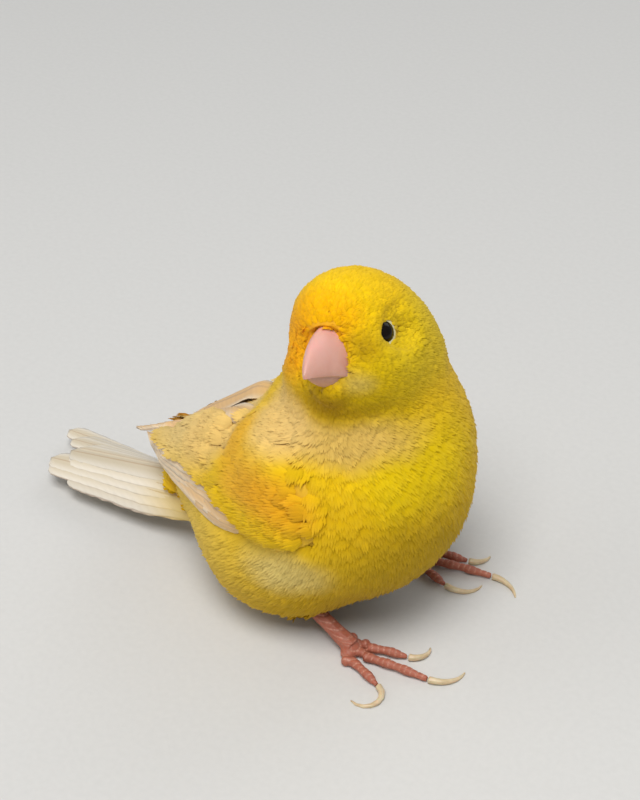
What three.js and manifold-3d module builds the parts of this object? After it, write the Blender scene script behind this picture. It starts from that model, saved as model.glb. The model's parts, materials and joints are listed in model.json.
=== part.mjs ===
// A life-size yellow canary, squatting on the floor with its head turned over its right shoulder.
// Millimetres, +X the way the breast faces, +Y its left side, +Z up, the floor at z = 0.
import * as THREE from "three";
import { mergeVertices } from "three/addons/utils/BufferGeometryUtils.js";
import Module from "manifold-3d";

const wasm = await Module();
wasm.setup();

// Driving dimensions of the trunk, in millimetres and degrees.
const BREAST_BALL = { centre: [-7.1, 0, 25.5], radii: [18.7, 20.6, 19.6] };
const BELLY = { centre: [-19, 0, 16], radii: [19.7, 16.1, 13.7] };
const BACK = { centre: [-15.5, 0, 23.4], radii: [12.2, 14.9, 9.8] };
const THIGH = { centre: [-15.6, 10.8, 13.1], radii: [12.8, 9.1, 10.7] };
const RUMP = { from: [-26.2, 0, 17.7], to: [-43.1, 0, 10.9], wide: 10.2, narrow: 3.6 };
const NECK = { from: [-7.7, 5.3, 34.9], to: [-7.5, 4.9, 43.8], wide: 14.4, narrow: 11.8 };

// The head hangs on the midpoint between the eyes and has its own forward, left and up.
const EYES_MIDPOINT = [-8.1, -1.8, 52.5];
const HEAD_HEADING = -85.4;
const HEAD_PITCH = 24.2;
const HEAD_ROLL = 19.8;
const SKULL = { centre: [-4.3, 0, -0.9], radii: [10.3, 10.2, 11.3] };
const FOREHEAD = { centre: [1.6, 0, 3.7], radii: [7.3, 7, 6] };
const CHEEK = { centre: [0, 5, -4.2], radii: [6.8, 5.2, 6.2] };
const CHIN = { centre: [2, 0, -7], radii: [5.2, 5.2, 4.4] };
const EYE_HOLLOW = { centre: [1.2, 9.7, 0.3], radii: [4, 2.8, 3] };
const EYE = { centre: [0.4, 5.3, 0.1], radius: 2.6 };

// The bill, in the head's frame: its ridge, its cutting edge and its keel, each from base to tip.
const BILL_RIDGE = [[4.6, 2.5], [12.4, 1.5], [15.3, -4.3]];
const BILL_EDGE = [[4.6, -6.1], [10, -4.7], [15.1, -4.9]];
const BILL_KEEL = [[4.6, -8.8], [10.5, -7.9], [13.5, -5.8]];
const BILL_HALF_WIDTH = 4.1;

// Cuts that part the body: a point on each plane and the way it faces.
const HEAD_CUT = { point: [-7, 1, 42], normal: [-0.05, 0.12, 0.99] };
const NECK_CUT = { point: [-8, 3, 35], normal: [0.25, 0.05, 0.967] };
const BREAST_CUT = { point: [-14, 0, 20], normal: [0.84, 0, 0.545] };
const RUMP_CUT = { point: [-34, 0, 16], normal: [0.84, 0, 0.545] };

// Folded wings: x from the tip to the shoulder, and angles round the trunk's axis from the top.
const SHOULDER_X = -1;
const WING_TIP_X = { right: -49, left: -53 };
const WING_AXIS = [[-60, 12.4], [-43, 11.5], [-26, 18], [0, 28]];
const WING_REST = { from: [-30, 0, 15], to: [-56, 0, 12], wide: 9, narrow: 1.7 };
const WING_LIFT = 0.45;

// The tail: a fan of blades, roofed at its root and flat at its tips.
const TAIL_ROOT = { x: -37, y: 0, z: 12.2, halfWidth: 6.2, roof: 6.4 };
const TAIL_TIP = { x: -72, y: 0.9, z: 3.6, halfWidth: 7.9, roof: 0.5 };
const TAIL_THICKNESS = 0.8;
const TAIL_REACH = {
  right_outer: 27.5,
  right_middle: 33.8,
  right_inner: 31.2,
  left_inner: 30.2,
  left_middle: 34.4,
  left_outer: 37.6,
};

// Feet on the floor: where each tarsus, toe and claw starts and ends, seen from above.
const TARSUS_RADIUS = 1.3;
const TOE_RADIUS = 0.82;
const FEET = {
  right: {
    hub: [0, -11.9],
    heel: [-13.5, -11, 8.4],
    toes: {
      inner: { from: [1.9, -10.2], to: [8.2, -8.2], claw: 5, turn: 105, lean: 84 },
      middle: { from: [2.6, -12.2], to: [13.5, -10.8], claw: 7, turn: 95, lean: 82 },
      outer: { from: [1.4, -14.2], to: [7.7, -16.4], claw: 8.6, turn: 190, lean: -80 },
      back: { from: [-2.2, -10.6], to: [-8.4, -7.6], claw: 7, turn: 50, lean: 40 },
    },
  },
  left: {
    hub: [-4, 14.3],
    heel: [-17, 12.4, 8.8],
    toes: {
      inner: { from: [-2.2, 16.1], to: [4, 17.9], claw: 4.6, turn: 90, lean: 80 },
      middle: { from: [-1.5, 14.1], to: [9.3, 16.7], claw: 6.6, turn: 75, lean: -62 },
      outer: { from: [-2.5, 12.1], to: [4, 10.4], claw: 7.2, turn: 110, lean: 80 },
      back: { from: [-6.2, 13.2], to: [-12.4, 10.2], claw: 7, turn: 50, lean: -40 },
    },
  },
};

const SMOOTHING = 7;
const GAP = 0.3;
const BODY_CELL = 3.4;
const HEAD_CELL = 2.4;
const HEAD_FLOOR = 38;

const group = new THREE.Group();
const coat = (color, roughness) => new THREE.MeshStandardMaterial({ color, roughness, metalness: 0 });
const plumage = coat(0xe8c32a, 0.85);
const flightFeather = coat(0xe6d2a4, 0.8);
const billHorn = coat(0xd9a39a, 0.4);
const eyeball = coat(0x0c0a09, 0.08);
const scaledSkin = coat(0x9c5340, 0.55);
const clawHorn = coat(0xcdb892, 0.4);

const vector = (p) => new THREE.Vector3(...p);
const radians = THREE.MathUtils.degToRad;
const mix = THREE.MathUtils.lerp;
const eased = (share) => THREE.MathUtils.smoothstep(share, 0, 1);

// A frame of three axes from a heading, a pitch and a roll, in degrees, as the bird would name them.
function frameOf(origin, heading, pitch, roll) {
  const turned = new THREE.Matrix4().makeRotationZ(radians(heading));
  turned.multiply(new THREE.Matrix4().makeRotationY(-radians(pitch)));
  turned.multiply(new THREE.Matrix4().makeRotationX(radians(roll)));
  turned.setPosition(...origin);
  return { toWorld: turned, toLocal: turned.clone().invert() };
}

const headFrame = frameOf(EYES_MIDPOINT, HEAD_HEADING, HEAD_PITCH, HEAD_ROLL);
const identity = frameOf([0, 0, 0], 0, 0, 0);

const local = new THREE.Vector3();
const along = new THREE.Vector3();

// Distance from a point to an ellipsoid, near enough for blending.
function ellipsoid({ centre, radii }, frame = identity) {
  return (p) => {
    local.copy(p).applyMatrix4(frame.toLocal);
    const [x, y, z] = [local.x - centre[0], local.y - centre[1], local.z - centre[2]];
    const near = Math.hypot(x / radii[0], y / radii[1], z / radii[2]);
    const slope = Math.hypot(x / radii[0] ** 2, y / radii[1] ** 2, z / radii[2] ** 2);
    return slope < 1e-9 ? -Math.min(...radii) : (near * (near - 1)) / slope;
  };
}

// Distance from a point to a straight limb that narrows from one end to the other.
function limb({ from, to, wide, narrow }) {
  const start = vector(from);
  const axis = vector(to).sub(start);
  const length2 = axis.lengthSq();
  return (p) => {
    along.copy(p).sub(start);
    const share = THREE.MathUtils.clamp(along.dot(axis) / length2, 0, 1);
    along.addScaledVector(axis, -share);
    return along.length() - mix(wide, narrow, share);
  };
}

const mirrored = (shape) => ({ ...shape, centre: [shape.centre[0], -shape.centre[1], shape.centre[2]] });

function blended(a, b, width) {
  const share = Math.max(width - Math.abs(a - b), 0) / width;
  return Math.min(a, b) - (share * share * width) / 4;
}

const bodyShapes = [
  [ellipsoid(BREAST_BALL), 0],
  [ellipsoid(BELLY), SMOOTHING],
  [ellipsoid(BACK), SMOOTHING],
  [limb(RUMP), SMOOTHING],
  [ellipsoid(THIGH), 5],
  [ellipsoid(mirrored(THIGH)), 5],
  [limb(NECK), SMOOTHING],
  [ellipsoid(SKULL, headFrame), 5],
  [ellipsoid(FOREHEAD, headFrame), 4],
  [ellipsoid(CHEEK, headFrame), 4],
  [ellipsoid(mirrored(CHEEK), headFrame), 4],
  [ellipsoid(CHIN, headFrame), 4],
];
const hollows = [ellipsoid(EYE_HOLLOW, headFrame), ellipsoid(mirrored(EYE_HOLLOW), headFrame)];

// Negative inside the flesh and its coat, zero on the outline of the feathers.
function bodyField(p) {
  let value = bodyShapes[0][0](p);
  for (const [distance, width] of bodyShapes.slice(1)) value = blended(value, distance(p), width);
  for (const distance of hollows) value = -blended(-value, distance(p), 1.5);
  return value;
}

// The body with the root of the tail, on which the folded wings lie.
const wingRest = limb(WING_REST);
const restField = (p) => blended(bodyField(p), wingRest(p), 5);

const quad = (a, b, c, d) => [a, b, c, a, c, d];

// The surface where a field is zero, as one closed mesh: a vertex in each cell that the surface crosses.
function surfaceOf(field, low, high, cell) {
  const [nx, ny, nz] = low.map((v, i) => Math.ceil((high[i] - v) / cell) + 1);
  const at = (i, j, k) => i + nx * (j + ny * k);
  const values = new Float32Array(nx * ny * nz);
  const p = new THREE.Vector3();
  for (let k = 0; k < nz; k++)
    for (let j = 0; j < ny; j++)
      for (let i = 0; i < nx; i++) {
        p.set(low[0] + i * cell, low[1] + j * cell, low[2] + k * cell);
        values[at(i, j, k)] = field(p);
      }
  const points = [];
  const indexOf = new Map();
  for (let k = 0; k < nz - 1; k++)
    for (let j = 0; j < ny - 1; j++)
      for (let i = 0; i < nx - 1; i++) {
        const sum = new THREE.Vector3();
        let crossings = 0;
        for (let axis = 0; axis < 3; axis++)
          for (let u = 0; u < 2; u++)
            for (let v = 0; v < 2; v++) {
              const a = [0, 0, 0];
              a[(axis + 1) % 3] = u;
              a[(axis + 2) % 3] = v;
              const b = [...a];
              b[axis] = 1;
              const va = values[at(i + a[0], j + a[1], k + a[2])];
              const vb = values[at(i + b[0], j + b[1], k + b[2])];
              if (va < 0 === vb < 0) continue;
              sum.add(vector(a).lerp(vector(b), va / (va - vb)));
              crossings++;
            }
        if (!crossings) continue;
        sum.divideScalar(crossings).add(vector([i, j, k])).multiplyScalar(cell).add(vector(low));
        indexOf.set(at(i, j, k), points.length);
        points.push(settled(field, sum));
      }
  const triangles = [];
  for (let k = 1; k < nz - 1; k++)
    for (let j = 1; j < ny - 1; j++)
      for (let i = 1; i < nx - 1; i++) {
        const here = values[at(i, j, k)] < 0;
        for (let axis = 0; axis < 3; axis++) {
          const step = [0, 0, 0];
          step[axis] = 1;
          if (here === values[at(i + step[0], j + step[1], k + step[2])] < 0) continue;
          const du = [0, 0, 0];
          const dv = [0, 0, 0];
          du[(axis + 1) % 3] = 1;
          dv[(axis + 2) % 3] = 1;
          const corner = (a, b) =>
            indexOf.get(at(i - a * du[0] - b * dv[0], j - a * du[1] - b * dv[1], k - a * du[2] - b * dv[2]));
          const ring = [corner(0, 0), corner(1, 0), corner(1, 1), corner(0, 1)];
          triangles.push(...quad(...(here ? ring : ring.reverse())));
        }
      }
  return { points, triangles };
}

// Moves a point along the field's slope until it lies on the surface.
function settled(field, p) {
  const step = 0.05;
  for (let turn = 0; turn < 3; turn++) {
    const value = field(p);
    const slope = new THREE.Vector3(
      field(p.clone().add(vector([step, 0, 0]))) - value,
      field(p.clone().add(vector([0, step, 0]))) - value,
      field(p.clone().add(vector([0, 0, step]))) - value,
    ).divideScalar(step);
    p.addScaledVector(slope, -value / Math.max(slope.lengthSq(), 0.2));
  }
  return p;
}

// A closed body from points and triangles, turned inside out if its volume is negative.
function bodyOf({ points, triangles }) {
  let volume = 0;
  for (let t = 0; t < triangles.length; t += 3) {
    const [a, b, c] = [0, 1, 2].map((n) => points[triangles[t + n]]);
    volume += a.dot(b.clone().cross(c));
  }
  const geometry = new THREE.BufferGeometry();
  geometry.setAttribute("position", new THREE.Float32BufferAttribute(points.flatMap((p) => p.toArray()), 3));
  geometry.setIndex(volume < 0 ? [...triangles].reverse() : triangles);
  return solidOf(geometry);
}

function solidOf(geometry) {
  const plain = geometry.clone();
  plain.deleteAttribute("normal");
  plain.deleteAttribute("uv");
  const merged = mergeVertices(plain, 1e-5);
  return new wasm.Manifold(
    new wasm.Mesh({
      numProp: 3,
      vertProperties: new Float32Array(merged.attributes.position.array),
      triVerts: new Uint32Array(merged.index.array),
    }),
  );
}

function addSolid(name, solid, material) {
  const { vertProperties, triVerts } = solid.getMesh();
  const geometry = new THREE.BufferGeometry();
  geometry.setAttribute("position", new THREE.Float32BufferAttribute(vertProperties, 3));
  geometry.setIndex(new THREE.Uint32BufferAttribute(triVerts, 1));
  geometry.computeVertexNormals();
  const mesh = new THREE.Mesh(geometry, material);
  mesh.name = name;
  group.add(mesh);
}

// A closed body through rings of points, with a flat fan over each end.
function loft(rings) {
  const count = rings[0].length;
  const points = rings.flat();
  const triangles = [];
  for (let r = 0; r + 1 < rings.length; r++)
    for (let i = 0; i < count; i++) {
      const j = (i + 1) % count;
      const [low, high] = [r * count, (r + 1) * count];
      triangles.push(...quad(low + i, low + j, high + j, high + i));
    }
  const last = (rings.length - 1) * count;
  for (let i = 1; i + 1 < count; i++) {
    triangles.push(0, i + 1, i);
    triangles.push(last, last + i, last + i + 1);
  }
  return bodyOf({ points, triangles });
}

// A round body along a curve, its radius given at each share of the length.
function rod(curve, radiusAt, { steps, sides }) {
  const rings = [];
  for (let n = 0; n <= steps; n++) {
    const share = n / steps;
    const middle = curve.getPoint(share);
    const forward = curve.getTangent(share);
    const across = vector([0, 0, 1]).cross(forward).normalize();
    const upward = forward.clone().cross(across);
    const ring = [];
    for (let i = 0; i < sides; i++) {
      const angle = ((i + 0.5) / sides) * 2 * Math.PI;
      const arm = across.clone().multiplyScalar(Math.cos(angle)).addScaledVector(upward, Math.sin(angle));
      ring.push(middle.clone().addScaledVector(arm, radiusAt(share)));
    }
    rings.push(ring);
  }
  return loft(rings);
}

const aboveFloor = (solid) => solid.trimByPlane([0, 0, 1], 0);

// Splits a solid by a plane and leaves a thin gap: first the side the plane faces, then the other.
function parted(solid, { point, normal }) {
  const facingOut = vector(normal).normalize();
  const height = facingOut.dot(vector(point));
  return [
    solid.trimByPlane(facingOut.toArray(), height + GAP / 2),
    solid.trimByPlane(facingOut.negate().toArray(), -height + GAP / 2),
  ];
}

// One half of the bill between two of its lines, swollen by the given clearance.
function billHalf(upperLine, lowerLine, grow) {
  const curveOf = (line) => new THREE.QuadraticBezierCurve3(...line.map(([x, z]) => vector([x, 0, z])));
  const [upper, lower] = [curveOf(upperLine), curveOf(lowerLine)];
  const [steps, sides] = [8, 12];
  const rings = [];
  for (let n = 0; n <= steps; n++) {
    const share = n / steps;
    const halfWidth = mix(0.22, BILL_HALF_WIDTH, (1 - share) ** 0.8) + grow;
    const ring = [];
    for (let i = 0; i < sides; i++) {
      const angle = (i / sides) * 2 * Math.PI;
      const p = lower.getPoint(share).lerp(upper.getPoint(share), 0.5 + 0.5 * Math.sin(angle));
      p.y = halfWidth * Math.cos(angle);
      p.z += grow * Math.sin(angle);
      ring.push(p.applyMatrix4(headFrame.toWorld));
    }
    rings.push(ring);
  }
  return loft(rings);
}

function ball(centre, radius, frame) {
  const geometry = new THREE.SphereGeometry(radius, 12, 8);
  geometry.translate(...centre);
  geometry.applyMatrix4(frame.toWorld);
  return solidOf(geometry);
}

// A point on the folded wing: x along the trunk and an angle from its top, at a height over the body.
function wingPoint(side, x, angle, height) {
  const stretch = WING_AXIS.findIndex(([axisX]) => axisX > x);
  const [[x0, z0], [x1, z1]] = [WING_AXIS[stretch - 1], WING_AXIS[stretch]];
  const axis = vector([x, 0, mix(z0, z1, (x - x0) / (x1 - x0))]);
  const outward = vector([0, side * Math.sin(radians(angle)), Math.cos(radians(angle))]);
  let [near, far] = [0, 45];
  for (let turn = 0; turn < 24; turn++) {
    const middle = (near + far) / 2;
    const inside = restField(axis.clone().addScaledVector(outward, middle)) < height;
    [near, far] = inside ? [middle, far] : [near, middle];
  }
  return axis.addScaledVector(outward, near);
}

// The wing's outline as angles from the top, at a share of the way from the tip to the shoulder.
function wingEdges(share) {
  const top = 2 + 8 * share + 62 * share ** 2.5;
  const low = 24 + 50 * (1 - Math.exp(-share / 0.14)) + 24 * share;
  const tipRound = share < 0.1 ? Math.sqrt(0.12 + (0.88 * share) / 0.1) : 1;
  const frontRound = share > 0.84 ? Math.sqrt(1 - ((share - 0.84) / 0.18) ** 2) : 1;
  const half = ((low - top) / 2) * tipRound * frontRound;
  const middle = (low + top) / 2;
  return [middle - half, middle + half];
}

// The line between the inner and outer flight feathers, as a share of the wing's width.
const wingSeam = (share) => 0.56 * eased((share - 0.12) / 0.16);
const SEAM_ANGLE = 1.3;
const WING_PIECES = {
  coverts: { reach: [0.505, 1], edges: ([top, low]) => [top, low], thickness: [0.7, 1], grid: [6, 7] },
  secondaries: {
    reach: [0.2, 0.492],
    edges: ([top, low], share) => [top, mix(top, low, wingSeam(share)) - SEAM_ANGLE / 2],
    thickness: [0.8, 0.4],
    grid: [5, 4],
  },
  primaries: {
    reach: [0, 0.492],
    edges: ([top, low], share) => [mix(top, low, wingSeam(share)) + (share > 0.13 ? SEAM_ANGLE : 0), low],
    thickness: [0.6, 0.3],
    grid: [11, 4],
  },
};

// A closed shell over the body: a grid of points underneath and another on top.
function wingPiece(side, tipX, { reach, edges, thickness, grid }) {
  const [alongSteps, acrossSteps] = grid;
  const row = acrossSteps + 1;
  const layers = [[], []];
  for (let a = 0; a <= alongSteps; a++) {
    const share = mix(reach[0], reach[1], a / alongSteps);
    const [from, to] = edges(wingEdges(share), share);
    for (let b = 0; b <= acrossSteps; b++) {
      const across = b / acrossSteps;
      const dome = Math.sin(Math.PI * across) * Math.sin((Math.PI * (a + 0.5)) / (alongSteps + 1));
      const angle = mix(from, to, across);
      const x = mix(tipX, SHOULDER_X, share);
      layers[0].push(wingPoint(side, x, angle, WING_LIFT));
      layers[1].push(wingPoint(side, x, angle, WING_LIFT + thickness[0] + thickness[1] * dome));
    }
  }
  const total = layers[0].length;
  const triangles = [];
  for (let a = 0; a < alongSteps; a++)
    for (let b = 0; b < acrossSteps; b++) {
      const i = a * row + b;
      triangles.push(...quad(i, i + 1, i + row + 1, i + row));
      triangles.push(...quad(total + i, total + i + row, total + i + row + 1, total + i + 1));
    }
  const wall = (i, j) => triangles.push(...quad(j, i, total + i, total + j));
  for (let a = 0; a < alongSteps; a++) {
    wall((a + 1) * row, a * row);
    wall(a * row + acrossSteps, (a + 1) * row + acrossSteps);
  }
  for (let b = 0; b < acrossSteps; b++) {
    wall(b, b + 1);
    wall(alongSteps * row + b + 1, alongSteps * row + b);
  }
  return bodyOf({ points: layers.flat(), triangles });
}

// One blade of the tail, the nth of six from the right, swollen by the given clearance.
function tailBlade(n, reach, grow) {
  const steps = 9;
  const rings = [];
  for (let s = 0; s <= steps; s++) {
    const travelled = reach * (s / steps);
    const share = travelled / (TAIL_ROOT.x - TAIL_TIP.x);
    const halfWidth = mix(TAIL_ROOT.halfWidth, TAIL_TIP.halfWidth, share);
    const slot = (2 * halfWidth) / 6;
    const round = Math.sqrt(1 - (1 - Math.min((reach - travelled) / 3.2, 1)) ** 2 * 0.96);
    const half = (slot / 2 - GAP / 2) * round + grow;
    const middle = -halfWidth + slot * (n + 0.5);
    const ring = [];
    for (const [across, lift] of [[-1, -1], [0, -1], [1, -1], [1, 1], [0, 1], [-1, 1]]) {
      const y = middle + across * half;
      const drop = mix(TAIL_ROOT.roof, TAIL_TIP.roof, share) * Math.abs(y / halfWidth) ** 1.4;
      const z = mix(TAIL_ROOT.z, TAIL_TIP.z, share) - drop;
      const height = z + lift * (TAIL_THICKNESS / 2 + grow);
      ring.push(vector([TAIL_ROOT.x - travelled, mix(TAIL_ROOT.y, TAIL_TIP.y, share) + y, height]));
    }
    rings.push(ring);
  }
  return loft(rings);
}

// A leg from its heel, hidden in the feathers, down to the broad root of the toes.
function legOf({ hub, heel }, grow) {
  const [x, y] = hub;
  const sole = 1.5;
  const path = [heel, [mix(x, heel[0], 0.35), mix(y, heel[1], 0.35), mix(sole, heel[2], 0.35)], [x, y, sole]];
  const shank = rod(
    new THREE.CatmullRomCurve3(path.map(vector)),
    (share) => TARSUS_RADIUS + 0.35 * eased((share - 0.6) / 0.4) + grow,
    { steps: 6, sides: 8 },
  );
  const root = new THREE.SphereGeometry(1, 10, 6);
  root.scale(1.7 + grow, 2.5 + grow, 1.3 + grow);
  root.translate(x, y, 1);
  return shank.add(solidOf(root));
}

function toeOf({ from, to }) {
  const middle = [mix(from[0], to[0], 0.5), mix(from[1], to[1], 0.5), TOE_RADIUS + 0.25];
  const curve = new THREE.CatmullRomCurve3([
    vector([...from, TOE_RADIUS + 0.15]),
    vector(middle),
    vector([...to, TOE_RADIUS * 0.78]),
  ]);
  const radiusAt = (share) => TOE_RADIUS * (1 - 0.14 * share) * (share > 0.99 ? 0.6 : 1);
  return rod(curve, radiusAt, { steps: 5, sides: 8 });
}

// A claw: a thin horn that turns through an arc, leaning to one side of its toe.
function clawOf({ from, to, claw, turn, lean }) {
  const forward = vector([to[0] - from[0], to[1] - from[1], 0]).normalize();
  const inward = vector([-forward.y, forward.x, 0]).multiplyScalar(Math.sin(radians(lean)));
  inward.z = -Math.cos(radians(lean));
  const bend = claw / radians(turn);
  const start = vector([...to, TOE_RADIUS * 0.78]).addScaledVector(forward, GAP + 0.05);
  const arc = new THREE.Curve();
  arc.getPoint = (share) => {
    const angle = radians(turn) * share;
    const p = start.clone().addScaledVector(forward, bend * Math.sin(angle));
    p.addScaledVector(inward, bend * (1 - Math.cos(angle)));
    p.z = Math.max(p.z, mix(0.55, 0.1, share));
    return p;
  };
  return rod(arc, (share) => mix(0.52, 0.08, share ** 1.3), { steps: 7, sides: 6 });
}

// The head has finer facets than the trunk, so it's made apart and cut to the same plane.
const headField = (p) => Math.max(bodyField(p), HEAD_FLOOR - p.z);
const upperBody = bodyOf(surfaceOf(headField, [-32, -26, HEAD_FLOOR - 6], [18, 26, 72], HEAD_CELL));
const body = bodyOf(surfaceOf(bodyField, [-58, -30, -4], [22, 30, 72], BODY_CELL));
const [headBlock] = parted(upperBody, HEAD_CUT);
const [, belowHead] = parted(body, HEAD_CUT);
const [neck, trunk] = parted(belowHead, NECK_CUT);
const [breastBlock, behindBreast] = parted(trunk, BREAST_CUT);
const [abdomenBlock, rumpBlock] = parted(behindBreast, RUMP_CUT);

let head = headBlock;
for (const [name, centre] of [["eye_left", EYE.centre], ["eye_right", mirrored(EYE).centre]]) {
  head = head.subtract(ball(centre, EYE.radius + GAP, headFrame));
  addSolid(name, ball(centre, EYE.radius, headFrame), eyeball);
}
const billEdgeLow = BILL_EDGE.map(([x, z]) => [x, z - GAP]);
const upperBill = (grow) => billHalf(BILL_RIDGE, BILL_EDGE, grow);
const lowerBill = (grow) => billHalf(billEdgeLow, BILL_KEEL, grow);
head = head.subtract(upperBill(GAP)).subtract(lowerBill(GAP));
addSolid("head", head, plumage);
addSolid("bill_upper", upperBill(0), billHorn);
addSolid("bill_lower", lowerBill(0), billHorn);
addSolid("neck", neck, plumage);

let breast = breastBlock;
let abdomen = abdomenBlock;
for (const [side, foot] of Object.entries(FEET)) {
  const room = legOf(foot, GAP);
  breast = breast.subtract(room);
  abdomen = abdomen.subtract(room);
  addSolid(`leg_${side}`, aboveFloor(legOf(foot, 0)), scaledSkin);
  for (const [which, toe] of Object.entries(foot.toes)) {
    addSolid(`toe_${side}_${which}`, aboveFloor(toeOf(toe).subtract(room)), scaledSkin);
    addSolid(`claw_${side}_${which}`, aboveFloor(clawOf(toe)), clawHorn);
  }
}
addSolid("breast", breast, plumage);
addSolid("abdomen", abdomen, plumage);

let rump = rumpBlock;
Object.entries(TAIL_REACH).forEach(([which, reach], n) => {
  rump = rump.subtract(tailBlade(n, reach, GAP));
  addSolid(`tail_${which}`, tailBlade(n, reach, 0), flightFeather);
});
addSolid("rump", rump, plumage);

for (const [side, sign] of [["right", -1], ["left", 1]])
  for (const [which, piece] of Object.entries(WING_PIECES)) {
    const material = which === "coverts" ? plumage : flightFeather;
    addSolid(`wing_${side}_${which}`, wingPiece(sign, WING_TIP_X[side], piece), material);
  }

// The origin goes to the floor under the middle of the whole bird.
const box = new THREE.Box3().setFromObject(group);
group.position.set(-(box.min.x + box.max.x) / 2, -(box.min.y + box.max.y) / 2, 0);

export default group;
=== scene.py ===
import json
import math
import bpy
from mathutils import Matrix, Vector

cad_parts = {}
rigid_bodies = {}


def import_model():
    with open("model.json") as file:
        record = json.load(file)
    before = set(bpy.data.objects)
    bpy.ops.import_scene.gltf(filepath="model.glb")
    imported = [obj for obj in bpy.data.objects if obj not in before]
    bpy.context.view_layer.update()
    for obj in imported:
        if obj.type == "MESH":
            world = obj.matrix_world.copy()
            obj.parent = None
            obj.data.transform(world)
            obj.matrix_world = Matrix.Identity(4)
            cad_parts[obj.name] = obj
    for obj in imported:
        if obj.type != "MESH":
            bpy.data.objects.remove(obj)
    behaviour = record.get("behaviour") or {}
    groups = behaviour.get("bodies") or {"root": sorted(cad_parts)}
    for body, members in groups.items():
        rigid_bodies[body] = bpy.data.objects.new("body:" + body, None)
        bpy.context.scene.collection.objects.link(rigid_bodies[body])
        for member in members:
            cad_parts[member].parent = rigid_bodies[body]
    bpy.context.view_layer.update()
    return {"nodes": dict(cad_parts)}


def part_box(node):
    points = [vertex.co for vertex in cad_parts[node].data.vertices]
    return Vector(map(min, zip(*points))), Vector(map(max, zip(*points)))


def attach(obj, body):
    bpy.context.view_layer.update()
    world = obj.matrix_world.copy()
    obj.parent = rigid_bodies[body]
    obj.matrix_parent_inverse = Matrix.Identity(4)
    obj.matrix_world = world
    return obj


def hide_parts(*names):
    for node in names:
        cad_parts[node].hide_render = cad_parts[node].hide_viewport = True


bl_info = {
    "name": "Yellow canary",
    "version": (1, 0, 0),
    "blender": (4, 5, 0),
    "location": "View3D > Sidebar > Canary",
    "description": "Builds the skin, plumage, bill, eyes and feet of a life-size yellow canary",
    "category": "Add Mesh",
}

import bmesh
import bpy
import numpy as np
from mathutils import Vector
from mathutils.bvhtree import BVHTree

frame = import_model()
MM = 0.001

# The head looks down and to the bird's right, and tips a little. Its own axes in the frame:
HEAD_FORWARD = Vector((0.073, -0.909, 0.410))
HEAD_LEFT = Vector((0.926, 0.215, 0.312))
HEAD_UP = Vector((-0.372, 0.357, 0.857))

# Feathers run away from the root of the bill on the head, and back and down on the body.
BODY_FLOW = Vector((-0.88, 0, -0.47))
TAIL_FLOW = Vector((-0.97, 0, -0.24))
THROAT_FLOW = Vector((0.05, 0, -1))

# The folded wing, seen as angles from the top of an axis that runs along the trunk, in mm.
BODY_X = 28.463
BODY_Y = -0.535
SHOULDER_X = -1.0
WING_TIP_X = {"right": -49.0, "left": -53.0}
WING_AXIS_X = [-60.0, -43.0, -26.0, 0.0]
WING_AXIS_Z = [12.4, 11.5, 18.0, 28.0]
WING_SIDE = {"right": -1, "left": 1}

# The tail's root and tip, in mm, and how far each of the six pairs of blades reaches.
TAIL_ROOT = {"x": -8.54, "y": -0.54, "z": 12.2, "half_width": 6.2, "roof": 6.4}
TAIL_TIP = {"x": -43.54, "y": 0.36, "z": 3.6, "half_width": 7.9, "roof": 0.5}
TAIL_REACH = [27.5, 33.8, 31.2, 30.2, 34.4, 37.6]

# The bill's outlines in the head's own axes from between the eyes: ahead and up, in mm.
BILL = {
    "upper": {
        "top": [(4.6, 2.8), (12.4, 1.6), (15.3, -4.3)],
        "bottom": [(4.6, -6.1), (10.0, -4.7), (15.1, -4.9)],
        "half_width": 4.2,
    },
    "lower": {
        "top": [(4.6, -6.1), (10.0, -4.8), (13.8, -5.0)],
        "bottom": [(4.6, -7.7), (9.0, -6.9), (12.6, -5.7)],
        "half_width": 3.4,
    },
}

# The flesh that one skin replaces.
FLESH = ["head", "neck", "breast", "abdomen", "rump"]
WING_PARTS = ["coverts", "secondaries", "primaries"]
TAIL_PARTS = ["inner", "middle", "outer"]
TOES = ["inner", "middle", "outer", "back"]
# Copies of CAD nodes have the corners merged that lie closer than this.
MERGE_DISTANCE = 0.005 * MM

# The camera looks at its target from this side and height, in degrees, at this distance, in mm.
CAMERA_AZIMUTH = 34
CAMERA_ELEVATION = 35
CAMERA_TARGET = (8.453, 8.125, 30)
CAMERA_DISTANCE = 320
CAMERA_LENS = 87.84

# The lamps: name, place and size in metres, and power in watts.
LAMPS = [
    ("key", (0.15, -0.35, 0.8), 0.45, 6.4),
    ("fill", (-0.7, -0.5, 0.45), 0.7, 1.4),
    ("back", (0.1, 0.8, 0.6), 0.6, 1.5),
]
LAMP_TARGET = (10, 0, 30)
SKY_COLOUR = (0.9, 0.95, 1.0, 1)
SKY_STRENGTH = 0.3


def mm(x, y, z):
    return Vector((x, y, z)) * MM


def box_middle(node):
    low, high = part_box(node)
    return (Vector(low) + Vector(high)) / 2


EYES = {side: box_middle("eye_" + side) for side in ("left", "right")}
EYE_RADIUS = 2.6 * MM
BILL_ROOT = (EYES["left"] + EYES["right"]) / 2 + HEAD_FORWARD * 4.2 * MM - HEAD_UP * 2.2 * MM


def eye_axis(side):
    outward = HEAD_LEFT if side == "left" else -HEAD_LEFT
    return (outward + HEAD_FORWARD * 0.62 + HEAD_UP * 0.04).normalized()


EYE_RIMS = {side: EYES[side] + eye_axis(side) * 2.0 * MM for side in EYES}
# Rings that make the lids of each eye: how far out on its axis, radius and thickness, in mm.
LID_RINGS = ((2.1, 1.68, 0.4), (1.7, 2.2, 0.55))
# Rings that close the skin round the bill: how far before its root, radius and thickness, in mm.
BILL_RINGS = ((0.0, 3.8, 1.25), (1.5, 3.5, 1.1))
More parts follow.
